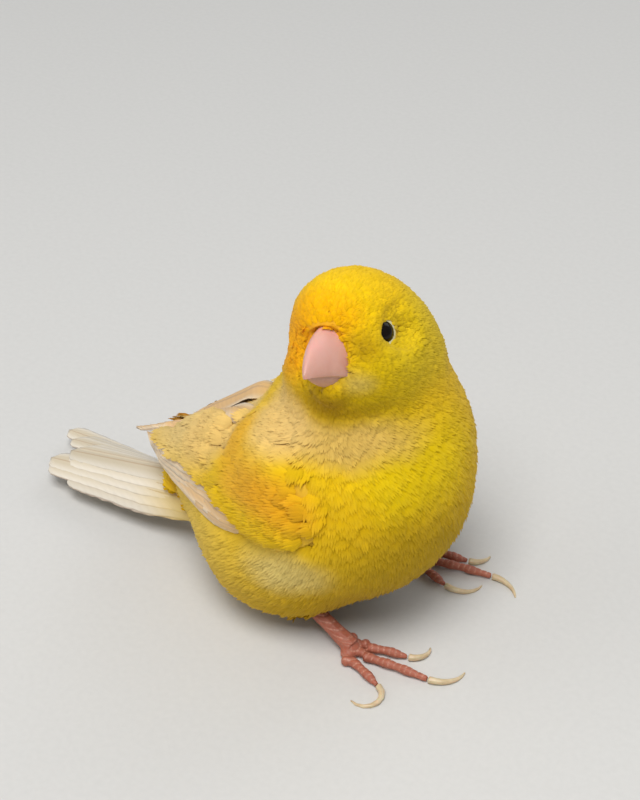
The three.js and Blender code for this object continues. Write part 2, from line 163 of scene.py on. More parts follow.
# Balls that fill the face behind the bill and the chin under it: how far ahead of the bill's root
# and how far up they lie, and their radius, in mm.
BILL_BALLS = ((-2.6, 0.0, 5.2), (0.9, -4.3, 4.0))


def eased(value, low, high):
    """Where a value lies between two others, from 0 to 1, with soft ends."""
    share = np.clip((value - low) / (high - low), 0, 1)
    return share * share * (3 - 2 * share)


# Object handling


def deselect():
    bpy.ops.object.select_all(action="DESELECT")


def activate(piece):
    deselect()
    piece.select_set(True)
    bpy.context.view_layer.objects.active = piece


def apply_modifier(piece, kind, **settings):
    activate(piece)
    modifier = piece.modifiers.new(kind.title(), kind)
    for key, value in settings.items():
        setattr(modifier, key, value)
    bpy.ops.object.modifier_apply(modifier=modifier.name)


def join_pieces(name, pieces):
    activate(pieces[0])
    for piece in pieces[1:]:
        piece.select_set(True)
    if len(pieces) > 1:
        bpy.ops.object.join()
    pieces[0].name = name
    pieces[0].data.name = name
    return pieces[0]


def copy_of_node(node):
    """A merged copy of a CAD node's mesh, as an object of its own."""
    shape = bmesh.new()
    shape.from_mesh(frame["nodes"][node].data)
    bmesh.ops.remove_doubles(shape, verts=shape.verts, dist=MERGE_DISTANCE)
    mesh = bpy.data.meshes.new(node + "_copy")
    shape.to_mesh(mesh)
    shape.free()
    piece = bpy.data.objects.new(node + "_copy", mesh)
    bpy.context.scene.collection.objects.link(piece)
    return piece


def place_applied():
    bpy.ops.object.transform_apply(location=True, rotation=True, scale=True)
    return bpy.context.object


def add_ball(centre, radius, segments=24, rings=16):
    deselect()
    bpy.ops.mesh.primitive_uv_sphere_add(
        segments=segments, ring_count=rings, radius=radius, location=centre
    )
    return place_applied()


def add_ring(centre, axis, radius, thickness):
    deselect()
    turn = axis.to_track_quat("Z", "Y").to_euler()
    bpy.ops.mesh.primitive_torus_add(
        major_radius=radius,
        minor_radius=thickness,
        major_segments=48,
        minor_segments=16,
        location=centre,
        rotation=turn,
    )
    return place_applied()


def soft_copy(name, nodes, voxel, smoothing, extras=()):
    """CAD nodes made one closed skin of even facets, with the parting lines filled."""
    piece = join_pieces(name, [copy_of_node(node) for node in nodes] + list(extras))
    apply_modifier(piece, "REMESH", mode="VOXEL", voxel_size=voxel, use_smooth_shade=True)
    apply_modifier(piece, "SMOOTH", factor=0.5, iterations=smoothing)
    return piece


def surface_tree(pieces):
    shape = bmesh.new()
    for piece in pieces:
        shape.from_mesh(piece.data)
    tree = BVHTree.FromBMesh(shape)
    shape.free()
    return tree


def points_of(mesh):
    flat = np.empty(len(mesh.vertices) * 3)
    mesh.vertices.foreach_get("co", flat)
    return flat.reshape(-1, 3)


def normals_of(mesh):
    flat = np.empty(len(mesh.vertices) * 3)
    mesh.vertex_normals.foreach_get("vector", flat)
    return flat.reshape(-1, 3)


def set_points(mesh, points):
    mesh.vertices.foreach_set("co", np.ascontiguousarray(points, dtype=np.float32).ravel())
    mesh.update()


def mesh_piece(name, points, triangles, material):
    """A new object from arrays of points and triangles."""
    mesh = bpy.data.meshes.new(name)
    mesh.vertices.add(len(points))
    mesh.vertices.foreach_set("co", np.asarray(points, dtype=np.float32).ravel())
    mesh.loops.add(triangles.size)
    mesh.loops.foreach_set("vertex_index", triangles.astype(np.int32).ravel())
    mesh.polygons.add(len(triangles))
    mesh.polygons.foreach_set("loop_start", np.arange(0, triangles.size, 3, dtype=np.int32))
    mesh.update(calc_edges=True)
    mesh.shade_smooth()
    mesh.materials.append(material)
    piece = bpy.data.objects.new(name, mesh)
    bpy.context.scene.collection.objects.link(piece)
    return piece


def add_values(mesh, name, values):
    attribute = mesh.attributes.new(name, "FLOAT", "POINT")
    attribute.data.foreach_set("value", np.asarray(values, dtype=np.float32))


def add_map(mesh, name, coordinates):
    """A UV map from one coordinate for each vertex."""
    corners = np.empty(len(mesh.loops), dtype=np.int32)
    mesh.loops.foreach_get("vertex_index", corners)
    layer = mesh.uv_layers.new(name=name)
    layer.data.foreach_set("uv", coordinates[corners].astype(np.float32).ravel())


# Materials


def linear(hex_colour):
    """An sRGB hex colour in Blender's linear light."""
    channels = [int(hex_colour[i : i + 2], 16) / 255 for i in (1, 3, 5)]
    curve = [c / 12.92 if c <= 0.04045 else ((c + 0.055) / 1.055) ** 2.4 for c in channels]
    return (*curve, 1.0)


def add_node(tree, kind, inputs=None, **settings):
    """Adds a node, sets it, and links or fills its inputs."""
    node = tree.nodes.new(kind)
    for key, value in settings.items():
        setattr(node, key, value)
    for key, value in (inputs or {}).items():
        if isinstance(value, bpy.types.NodeSocket):
            tree.links.new(value, node.inputs[key])
        else:
            node.inputs[key].default_value = value
    return node


def new_material(name):
    material = bpy.data.materials.new(name)
    material.use_nodes = True
    tree = material.node_tree
    tree.nodes.clear()
    output = add_node(tree, "ShaderNodeOutputMaterial")
    shader = add_node(tree, "ShaderNodeBsdfPrincipled")
    tree.links.new(shader.outputs[0], output.inputs[0])
    return material, tree, shader


# Patches of the plumage: centre and radii in mm, colour, how strong, and how soft the edge is.
# Each one is laid over those before it. The first, dark gold, and the one on the lower breast are
# painted shade that darkens the underside of the body.
PLUMAGE_PATCHES_AND_PAINTED_SHADE = [
    # Painted shade: dark gold over the belly and the underside of the body.
    ((24, 2, 10), (26, 26, 13), "#a88110", 0.9, 0.7),
    ((4, 0, 14), (18, 24, 12), "#e3c468", 0.75, 0.7),
    ((-6, 0, 27), (26, 15, 12), "#edcb82", 0.95, 0.5),
    ((37, -6, 35), (9, 15, 8), "#eecb02", 0.85, 0.7),
    # Painted shade: darker gold on the lower breast.
    ((36, -8, 21), (12, 14, 10), "#c39c06", 0.85, 0.7),
    ((30, -19, 30), (8, 7, 7), "#e8b90c", 0.7, 0.6),
    ((26, -12, 40.5), (17, 12, 3.2), "#d8b25e", 0.9, 0.7),
    ((14, -12, 40), (8, 7, 6), "#ecc67c", 0.85, 0.6),
    ((21, -22, 18), (9, 7, 5), "#f0d98c", 0.7, 0.7),
    ((-1, -9, 31), (9, 8, 6), "#f0c778", 0.7, 0.5),
    ((7, -13, 34.5), (5, 5, 4), "#f0b42c", 0.85, 0.7),
    ((22, -21.5, 31.5), (6.5, 5, 5.5), "#ecae1c", 0.9, 0.7),
    ((12.4, -19.5, 32.7), (8, 7, 4.5), "#dfa534", 0.8, 0.7),
    ((17.9, -21.5, 32.5), (7, 6, 4), "#e3a01a", 0.75, 0.7),
    ((-11, -7, 7.5), (7, 6, 4), "#e0ad00", 0.9, 0.5),
    ((26, -11, 46.5), (9, 7, 3.6), "#b18a02", 0.9, 0.6),
    ((31, -6, 50), (8, 8, 8), "#dcb904", 0.8, 0.6),
    ((30, 5, 54), (9, 11, 10), "#e6c61c", 0.75, 0.6),
    ((21, 1, 62), (11, 13, 8), "#fdce08", 0.95, 0.5),
    ((20, -9, 59.5), (8, 5, 4.5), "#fbb802", 0.9, 0.6),
    ((15, -9, 53), (5, 6, 7), "#f5a60c", 0.85, 0.6),
    ((27.3, -7.6, 56.4), (3.6, 2.6, 2.2), "#b28a08", 0.7, 0.7),
    ((26.5, -9.5, 51), (3.6, 2.6, 2.4), "#c9b069", 0.55, 0.8),
]


def plumage_colour(tree, yellow):
    """The bird's markings and the painted shade under its body, laid out on the object, the same
    for its skin and its feathers.
    """
    # The edges of the markings wander over about 11 mm.
    place = add_node(tree, "ShaderNodeTexCoord").outputs["Object"]
    ripple = add_node(tree, "ShaderNodeTexNoise", {"Vector": place, "Scale": 90.0, "Detail": 2.0})
    shift = add_node(
        tree,
        "ShaderNodeVectorMath",
        {0: ripple.outputs["Color"], 1: (0.5, 0.5, 0.5)},
        operation="SUBTRACT",
    )
    wander = add_node(
        tree, "ShaderNodeVectorMath", {0: shift.outputs[0], "Scale": 4.5 * MM}, operation="SCALE"
    )
    moved = add_node(
        tree, "ShaderNodeVectorMath", {0: place, 1: wander.outputs[0]}, operation="ADD"
    )
    colour = tuple(yellow)
    for centre, radii, tint, strength, softness in PLUMAGE_PATCHES_AND_PAINTED_SHADE:
        away = add_node(
            tree,
            "ShaderNodeVectorMath",
            {0: moved.outputs[0], 1: tuple(c * MM for c in centre)},
            operation="SUBTRACT",
        )
        scaled = add_node(
            tree,
            "ShaderNodeVectorMath",
            {0: away.outputs[0], 1: tuple(r * MM for r in radii)},
            operation="DIVIDE",
        )
        distance = add_node(
            tree, "ShaderNodeVectorMath", {0: scaled.outputs[0]}, operation="LENGTH"
        )
        cover = add_node(
            tree,
            "ShaderNodeMapRange",
            {
                "Value": distance.outputs["Value"],
                "From Min": 1 - softness,
                "From Max": 1 + softness * 0.5,
                "To Min": strength,
                "To Max": 0.0,
            },
            interpolation_type="SMOOTHSTEP",
        )
        colour = add_node(
            tree,
            "ShaderNodeMix",
            {0: cover.outputs[0], 6: colour, 7: linear(tint)},
            data_type="RGBA",
        ).outputs[2]
    return place, colour


def skin_material(settings):
    # Bird skin under the coat: thin, dry and matt, with the plumage's colours showing through.
    material, tree, shader = new_material("canary_skin")
    place, colour = plumage_colour(tree, settings.plumage_yellow)
    # Pores about 0.45 mm apart, drawn coarser than real ones so that they show.
    pores = add_node(tree, "ShaderNodeTexNoise", {"Vector": place, "Scale": 2200.0, "Detail": 3.0})
    dark = add_node(
        tree,
        "ShaderNodeMix",
        {0: 0.12, 6: colour, 7: linear("#b98a10")},
        data_type="RGBA",
        blend_type="MULTIPLY",
    ).outputs[2]
    lid = add_node(
        tree,
        "ShaderNodeMix",
        {0: eye_nearness(tree, place), 6: dark, 7: linear("#d9cfa0")},
        data_type="RGBA",
    ).outputs[2]
    relief = add_node(tree, "ShaderNodeBump", {"Height": pores.outputs[0], "Strength": 0.3})
    relief.inputs["Distance"].default_value = 0.1 * MM
    tree.links.new(lid, shader.inputs["Base Color"])
    tree.links.new(relief.outputs[0], shader.inputs["Normal"])
    shader.inputs["Roughness"].default_value = 0.7
    return material


def eye_nearness(tree, place):
    """One on the rims of the two eyes and nothing elsewhere."""
    total = 0.0
    for side in ("left", "right"):
        span = add_node(
            tree,
            "ShaderNodeVectorMath",
            {0: place, 1: tuple(EYE_RIMS[side])},
            operation="DISTANCE",
        )
        near = add_node(
            tree,
            "ShaderNodeMapRange",
            {
                "Value": span.outputs["Value"],
                "From Min": 1.95 * MM,
                "From Max": 2.2 * MM,
                "To Min": 1.0,
                "To Max": 0.0,
            },
        )
        total = add_node(
            tree, "ShaderNodeMath", {0: near.outputs[0], 1: total}, operation="ADD"
        ).outputs[0]
    return total


def plumage_material(settings):
    # Contour feathers: dry soft barbs without shine, a trace paler to their tips.
    material, tree, shader = new_material("contour_feather_keratin")
    _, colour = plumage_colour(tree, settings.plumage_yellow)
    shade = add_node(tree, "ShaderNodeAttribute", attribute_name="shade")
    along = add_node(tree, "ShaderNodeAttribute", attribute_name="along")
    tip = add_node(
        tree,
        "ShaderNodeMapRange",
        {"Value": along.outputs["Fac"], "From Min": 0.55, "From Max": 1.0, "To Max": 0.03},
    )
    pale = add_node(
        tree,
        "ShaderNodeMix",
        {0: tip.outputs[0], 6: colour, 7: linear("#fbe9a0")},
        data_type="RGBA",
    ).outputs[2]
    depth = add_node(
        tree,
        "ShaderNodeMapRange",
        {"Value": shade.outputs["Fac"], "To Min": 0.8, "To Max": 1.05},
    )
    varied = add_node(tree, "ShaderNodeHueSaturation", {"Color": pale, "Value": depth.outputs[0]})
    tree.links.new(varied.outputs[0], shader.inputs["Base Color"])
    shader.inputs["Roughness"].default_value = 0.85
    shader.inputs["Specular IOR Level"].default_value = 0.08
    shader.inputs["Sheen Weight"].default_value = 0.05
    shader.inputs["Sheen Roughness"].default_value = 0.5
    return material


def vane_material(name, middle, edge, base, base_reach):
    # Stiff feathers: smooth keratin webs with fine slanting barbs, a brown shaft and a brown rim.
    material, tree, shader = new_material(name)
    along = add_node(tree, "ShaderNodeAttribute", attribute_name="along").outputs["Fac"]
    across = add_node(tree, "ShaderNodeAttribute", attribute_name="across").outputs["Fac"]
    shade = add_node(tree, "ShaderNodeAttribute", attribute_name="shade").outputs["Fac"]
    out = add_node(tree, "ShaderNodeMath", {0: across}, operation="ABSOLUTE").outputs[0]
    # The layers over the middle's colour, each over those before it: a paler edge, the shaft, the
    # rim's line and the yellow base.
    rim = add_node(tree, "ShaderNodeMapRange", {"Value": out, "From Min": 0.35, "From Max": 0.95})
    shaft = add_node(
        tree,
        "ShaderNodeMapRange",
        {"Value": out, "From Min": 0.03, "From Max": 0.09, "To Min": 0.6, "To Max": 0.0},
    )
    rim_line = add_node(
        tree,
        "ShaderNodeMapRange",
        {"Value": out, "From Min": 0.93, "From Max": 1.0, "To Max": 0.55},
    )
    root = add_node(
        tree,
        "ShaderNodeMapRange",
        {"Value": along, "From Min": 0.0, "From Max": base_reach, "To Min": 1.0, "To Max": 0.0},
        interpolation_type="SMOOTHSTEP",
    )
    web = tuple(middle)
    for layer, tint in ((rim, edge), (shaft, "#b89876"), (rim_line, "#9c7d62"), (root, base)):
        inputs = {0: layer.outputs[0], 6: web, 7: linear(tint)}
        web = add_node(tree, "ShaderNodeMix", inputs, data_type="RGBA").outputs[2]
    # Barbs in waves about 2 mm long, drawn far coarser than real barbs so that they show.
    slant = add_node(tree, "ShaderNodeMath", {0: along, 1: 110.0}, operation="MULTIPLY").outputs[0]
    lean = add_node(tree, "ShaderNodeMath", {0: out, 1: 14.0, 2: slant}, operation="MULTIPLY_ADD")
    barb = add_node(tree, "ShaderNodeMath", {0: lean.outputs[0]}, operation="SINE").outputs[0]
    tone = add_node(
        tree, "ShaderNodeMapRange", {"Value": shade, "To Min": 0.9, "To Max": 1.08}
    ).outputs[0]
    varied = add_node(tree, "ShaderNodeHueSaturation", {"Color": web, "Value": tone})
    relief = add_node(tree, "ShaderNodeBump", {"Height": barb, "Strength": 0.25})
    relief.inputs["Distance"].default_value = 0.08 * MM
    tree.links.new(varied.outputs[0], shader.inputs["Base Color"])
    tree.links.new(relief.outputs[0], shader.inputs["Normal"])
    shader.inputs["Roughness"].default_value = 0.55
    shader.inputs["Sheen Weight"].default_value = 0.1
    return material


def bill_material(settings):
    # Horn of the bill: slightly translucent pale pink, with a waxy shine and faint clouds, and
    # painted shade that turns it brown towards its lower side.
    material, tree, shader = new_material("bill_horn")
    place = add_node(tree, "ShaderNodeTexCoord").outputs["Object"]
    height = add_node(
        tree,
        "ShaderNodeVectorMath",
        {0: place, 1: tuple(HEAD_UP)},
        operation="DOT_PRODUCT",
    )
    ridge = BILL_ROOT.dot(HEAD_UP)
    # Painted shade: from the bill's own pink high up to brown low down, by height along the head's
    # up axis.
    rise = add_node(
        tree,
        "ShaderNodeMapRange",
        {
            "Value": height.outputs["Value"],
            "From Min": ridge - 3.4 * MM,
            "From Max": ridge + 1.6 * MM,
        },
    ).outputs[0]
    # Clouds about 2.4 mm across, and growth marks about 0.4 mm apart.
    clouds = add_node(tree, "ShaderNodeTexNoise", {"Vector": place, "Scale": 420.0, "Detail": 4.0})
    grown = add_node(tree, "ShaderNodeTexNoise", {"Vector": place, "Scale": 2600.0, "Detail": 3.0})
    body = add_node(
        tree,
        "ShaderNodeMix",
        {0: rise, 6: linear("#b98266"), 7: tuple(settings.bill_pink)},
        data_type="RGBA",
    ).outputs[2]
    varied = add_node(
        tree,
        "ShaderNodeMix",
        {0: clouds.outputs[0], 6: body, 7: linear("#dfae9f")},
        data_type="RGBA",
    ).outputs[2]
    relief = add_node(tree, "ShaderNodeBump", {"Height": grown.outputs[0], "Strength": 0.12})
    relief.inputs["Distance"].default_value = 0.05 * MM
    tree.links.new(varied, shader.inputs["Base Color"])
    tree.links.new(relief.outputs[0], shader.inputs["Normal"])
    shader.inputs["Roughness"].default_value = 0.38
    shader.inputs["Subsurface Weight"].default_value = 0.15
    shader.inputs["Subsurface Scale"].default_value = 1.0 * MM
    shader.inputs["Coat Weight"].default_value = 0.1
    return material


def eye_material():
    # A wet dark eye: near black iris under a clear, very smooth cornea.
    material, tree, shader = new_material("eye_cornea")
    place = add_node(tree, "ShaderNodeTexCoord").outputs["Object"]
    # Flecks of the iris about 1.1 mm across.
    grain = add_node(tree, "ShaderNodeTexNoise", {"Vector": place, "Scale": 900.0, "Detail": 2.0})
    colour = add_node(
        tree,
        "ShaderNodeMix",
        {0: grain.outputs[0], 6: linear("#050403"), 7: linear("#1d120c")},
        data_type="RGBA",
    ).outputs[2]
    tree.links.new(colour, shader.inputs["Base Color"])
    shader.inputs["Roughness"].default_value = 0.08
    shader.inputs["IOR"].default_value = 1.38
    shader.inputs["Specular IOR Level"].default_value = 0.2
    shader.inputs["Coat Weight"].default_value = 0.15
    shader.inputs["Coat Roughness"].default_value = 0.02
    return material


def foot_material(settings):
    # Scaled foot skin: dry reddish scutes with paler dusty joints between them.
    material, tree, shader = new_material("foot_scutes")
    place = add_node(tree, "ShaderNodeTexCoord").outputs["Object"]
    # Scutes about 0.7 mm across, and patches of colour about 2.6 mm across.
    cells = add_node(
        tree,
        "ShaderNodeTexVoronoi",
        {"Vector": place, "Scale": 1500.0},
        feature="DISTANCE_TO_EDGE",
    )
    seam = add_node(
        tree,
        "ShaderNodeMapRange",
        {"Value": cells.outputs["Distance"], "From Min": 0.0, "From Max": 0.16},
    ).outputs[0]
    patches = add_node(tree, "ShaderNodeTexNoise", {"Vector": place, "Scale": 380.0, "Detail": 4.0})
    skin = add_node(
        tree,
        "ShaderNodeMix",
        {0: patches.outputs[0], 6: tuple(settings.foot_red), 7: linear("#c7775c")},
        data_type="RGBA",
    ).outputs[2]
    groove = add_node(tree, "ShaderNodeAttribute", attribute_name="groove").outputs["Fac"]
    dusty = add_node(
        tree, "ShaderNodeMix", {0: groove, 6: skin, 7: linear("#d8a792")}, data_type="RGBA"
    ).outputs[2]
    joint = add_node(
        tree, "ShaderNodeMix", {0: seam, 6: linear("#a86650"), 7: dusty}, data_type="RGBA"
    ).outputs[2]
    relief = add_node(tree, "ShaderNodeBump", {"Height": seam, "Strength": 0.35})
    relief.inputs["Distance"].default_value = 0.06 * MM
    tree.links.new(joint, shader.inputs["Base Color"])
    tree.links.new(relief.outputs[0], shader.inputs["Normal"])
    shader.inputs["Roughness"].default_value = 0.5
    shader.inputs["Specular IOR Level"].default_value = 0.4
    return material


def claw_material(settings):
    # Claw horn: pale, slightly translucent, smooth and a little glossy.
    material, tree, shader = new_material("claw_horn")
    place = add_node(tree, "ShaderNodeTexCoord").outputs["Object"]
    # Clouds about 1.4 mm across.
    streaks = add_node(tree, "ShaderNodeTexNoise", {"Vector": place, "Scale": 700.0, "Detail": 3.0})
    colour = add_node(
        tree,
        "ShaderNodeMix",
        {0: streaks.outputs[0], 6: linear("#b99a72"), 7: tuple(settings.claw_horn)},
        data_type="RGBA",
    ).outputs[2]
    tree.links.new(colour, shader.inputs["Base Color"])
    shader.inputs["Roughness"].default_value = 0.35
    shader.inputs["Subsurface Weight"].default_value = 0.2
    shader.inputs["Subsurface Scale"].default_value = 0.5 * MM
    return material


def floor_material():
    # Matt studio paper, pale and even, with the faintest tooth.
    material, tree, shader = new_material("studio_paper")
    place = add_node(tree, "ShaderNodeTexCoord").outputs["Object"]
    # The paper's tooth, about 1.1 mm across.
    tooth = add_node(tree, "ShaderNodeTexNoise", {"Vector": place, "Scale": 900.0, "Detail": 2.0})
    colour = add_node(
        tree,
        "ShaderNodeMix",
        {0: tooth.outputs[0], 6: linear("#cfcdc9"), 7: linear("#d6d4d0")},
        data_type="RGBA",
    ).outputs[2]
    tree.links.new(colour, shader.inputs["Base Color"])
    shader.inputs["Roughness"].default_value = 0.9
    return material


# Feathers


# Feathers by their distance from the root of the bill: length and spacing, all in mm.
FROM_BILL = [4, 7, 12, 20, 32, 50]
LENGTHS = [1.1, 1.6, 3.0, 4.4, 6.2, 7.4]
GAPS = [0.36, 0.42, 0.62, 0.82, 1.08, 1.16]
# The most they may be by their distance from the rim of an eye, all in mm.
FROM_EYE = [2, 4, 9]
LENGTHS_BY_EYE = [0.9, 1.7, 4.0]
GAPS_BY_EYE = [0.34, 0.46, 0.8]


def coat_depth(points):
    """How deep the coat lies on the skin, in metres: thin at the bill, the eyes and the face."""
    points = np.atleast_2d(points)
    from_bill = np.linalg.norm(points - np.array(BILL_ROOT), axis=1) / MM
    depth = 0.3 + 0.5 * eased(from_bill, 5, 13) + 0.6 * eased(from_bill, 16, 34)
    for rim in EYE_RIMS.values():
        from_eye = np.linalg.norm(points - np.array(rim), axis=1) / MM
        depth *= 0.55 + 0.45 * eased(from_eye, 2.0, 5.0)
    return depth * MM


def feather_size(points, settings):
    """Length, half width and spacing of the feathers rooted at each point, in metres."""
    from_bill = np.linalg.norm(points - np.array(BILL_ROOT), axis=1) / MM
    length = np.interp(from_bill, FROM_BILL, LENGTHS)
    spacing = np.interp(from_bill, FROM_BILL, GAPS)
    for rim in EYE_RIMS.values():
        from_eye = np.linalg.norm(points - np.array(rim), axis=1) / MM
        length = np.minimum(length, np.interp(from_eye, FROM_EYE, LENGTHS_BY_EYE))
        spacing = np.minimum(spacing, np.interp(from_eye, FROM_EYE, GAPS_BY_EYE))
    width = np.clip(length * 0.33, 0.34, 2.2)
    scale = settings.feather_length / settings.bl_rna.properties["feather_length"].default
    return length * MM * scale, width * MM, spacing * MM


def flow_at(point):
    """Which way the feathers lie at a point."""
    reach = (point - BILL_ROOT).length / MM
    radial = (point - BILL_ROOT - HEAD_FORWARD * 13 * MM).normalized()
    head_share = 1 - float(eased(reach, 18, 46)) * 0.85
    tail_share = float(eased(-point.x / MM, -6, 8))
    body = BODY_FLOW.lerp(TAIL_FLOW, tail_share)
    front_share = float(eased(point.x / MM, 22, 36)) * float(eased(reach, 10, 22))
    body = body.lerp(THROAT_FLOW, front_share * 0.7)
    return (radial * head_share + body * (1 - head_share)).normalized()


def outermost(tree, point, normal, reach=7 * MM):
    """The outermost surface over a point of another one, and its normal."""
    hit, hit_normal, _, _ = tree.ray_cast(point + normal * reach, -normal, reach * 1.2)
    if hit is None or hit_normal.dot(normal) < 0.2:
        return point, normal
    return hit, hit_normal


# Steps from the root of a feather to its tip.
SPINE_STEPS = 4


def spine_on(tree, root, normal, length, flow_over):
    """Points, normals and sideways directions of a feather that lies on a surface."""
    points, normals, sides = [], [], []
    here, up = root, normal
    for step in range(SPINE_STEPS + 1):
        flow = flow_over(here)
        if step:
            ahead = here + (flow - up * flow.dot(up)).normalized() * (length / SPINE_STEPS)
            near, near_normal, _, _ = tree.find_nearest(ahead)
            landing, landing_up = outermost(tree, near, near_normal, 3 * MM)
            here = ahead.lerp(near, 0.6)
            for spot, spot_up in ((landing, landing_up), (near, near_normal)):
                if spot_up.dot(up) > 0.3 and (spot - ahead).length < 0.6 * length / SPINE_STEPS:
                    here, up = spot, (up + spot_up).normalized()
                    break
        points.append(here)
        normals.append(up)
    for step in range(SPINE_STEPS + 1):
        run = (points[min(step + 1, SPINE_STEPS)] - points[max(step - 1, 0)]).normalized()
        normals[step] = (normals[step] - run * normals[step].dot(run)).normalized()
        sides.append(normals[step].cross(run))
    return points, normals, sides


# A feather is a fan of locks. Along each one, its half width and its thickness are shares of the
# feather's half width.
LOCKS = 7
LOCK_POINTS = 10
LOCK_STATIONS = np.array([0.0, 0.42, 0.8, 1.0])
LOCK_WIDTHS = (0.26, 0.3, 0.17)
LOCK_THICKNESSES = (0.04, 0.05, 0.03)
# How far the normals at a lock's left, right and upper corner lean to the side.
LOCK_LEANS = (-0.455, 0.455, 0.0)
# Triangles of one lock: three rings of three points and a tip.
LOCK_FACES = []
for ring in (0, 3):
    for corner in range(3):
        after = (corner + 1) % 3
        LOCK_FACES.append((ring + corner, ring + after, ring + after + 3))
        LOCK_FACES.append((ring + corner, ring + after + 3, ring + corner + 3))
LOCK_FACES += [(6, 7, 9), (7, 8, 9), (8, 6, 9), (0, 2, 1)]
LOCK_FACES = np.array(LOCK_FACES)
# The underside of a lock faces the skin, and the rest of it faces out.
LOCK_FACING = np.ones(len(LOCK_FACES))
LOCK_FACING[[0, 1, 6, 7, 12, 15]] = -1


def between(values, share):
    """Values given at even steps along each feather, read at a share of its length."""
    steps = values.shape[1] - 1
    place = np.clip(share, 0, 1) * steps
    low = np.minimum(place.astype(int), steps - 1)
    part = (place - low)[:, None]
    rows = np.arange(len(values))
    return values[rows, low] * (1 - part) + values[rows, low + 1] * part


def feather_arrays(spines, widths, depths, draw, loose):
    """Every feather as seven thin closed locks of barbs that fan out from its root."""
    points = np.array([spine[0] for spine in spines])
    normals = np.array([spine[1] for spine in spines])
    sides = np.array([spine[2] for spine in spines])
    count = len(points)
    lift = draw.uniform(0.88, 1.08, count) * (1 + loose)
    shade = np.clip(draw.normal(0.5, 0.14, count), 0, 1)
    corners = np.empty((count, LOCKS, LOCK_POINTS, 3))
    along = np.empty((count, LOCKS, LOCK_POINTS))
    facing = np.empty((count, LOCKS, LOCK_POINTS, 3))
    lean = draw.normal(0, 0.1 + loose * 0.3, count)
    for lock in range(LOCKS):
        out = (lock - (LOCKS - 1) / 2) / ((LOCKS - 1) / 2)
        reach = (1 - 0.24 * out * out) * draw.uniform(0.8, 1.06, count)
        stray = draw.normal(0, 0.045 + loose * 0.2, count)
        hop = draw.normal(0, 0.03 + loose * 0.2, count)
        for station, share in enumerate(LOCK_STATIONS):
            at = share * reach
            spine = between(points, at)
            up = between(normals, at)
            side = between(sides, at)
            open_out = (0.2 + 0.8 * eased(at, 0, 0.5)) * (1 - 0.12 * at * at)
            across = (out * open_out + (stray + lean) * at) * widths
            rise = depths * (0.08 + 0.92 * at**0.9) * (lift + hop * at)
            rise = rise - widths * 0.1 * out * out * at
            centre = spine + side * across[:, None] + up * rise[:, None]
            along[:, lock, station * 3 : station * 3 + 3] = at[:, None]
            for corner, tilt in enumerate(LOCK_LEANS):
                row = min(station * 3 + corner, LOCK_POINTS - 1)
                facing[:, lock, row] = up + side * (tilt + out * 0.28)
            if share == 1:
                corners[:, lock, -1] = centre
                along[:, lock, -1] = at
                continue
            half = (widths * LOCK_WIDTHS[station])[:, None]
            thick = (widths * LOCK_THICKNESSES[station])[:, None]
            corners[:, lock, station * 3] = centre - side * half
            corners[:, lock, station * 3 + 1] = centre + side * half
            corners[:, lock, station * 3 + 2] = centre + up * thick
    starts = np.arange(count * LOCKS)[:, None, None] * LOCK_POINTS
    triangles = (LOCK_FACES[None] + starts).reshape(-1, 3)
    shades = np.repeat(shade, LOCKS * LOCK_POINTS)
    shades = shades + draw.normal(0, 0.1, count * LOCKS).repeat(LOCK_POINTS)
    return corners.reshape(-1, 3), triangles, along.reshape(-1), shades, facing.reshape(-1, 3)


def recalculate_normals(piece):
    activate(piece)
    bpy.ops.object.mode_set(mode="EDIT")
    bpy.ops.mesh.select_all(action="SELECT")
    bpy.ops.mesh.normals_make_consistent(inside=False)
    bpy.ops.object.mode_set(mode="OBJECT")


def shade_feathers(mesh, facing, triangles):
    """Shades every lock as part of the smooth coat, with its underside facing the skin."""
    facing = facing / np.linalg.norm(facing, axis=1)[:, None]
    turned = np.tile(LOCK_FACING, len(triangles) // len(LOCK_FACES))[:, None, None]
    mesh.normals_split_custom_set((facing[triangles] * turned).reshape(-1, 3).tolist())


def unwrap(piece):
    activate(piece)
    bpy.ops.object.mode_set(mode="EDIT")
    bpy.ops.mesh.select_all(action="SELECT")
    bpy.ops.uv.smart_project(angle_limit=math.radians(70), island_margin=0.004)
    bpy.ops.object.mode_set(mode="OBJECT")


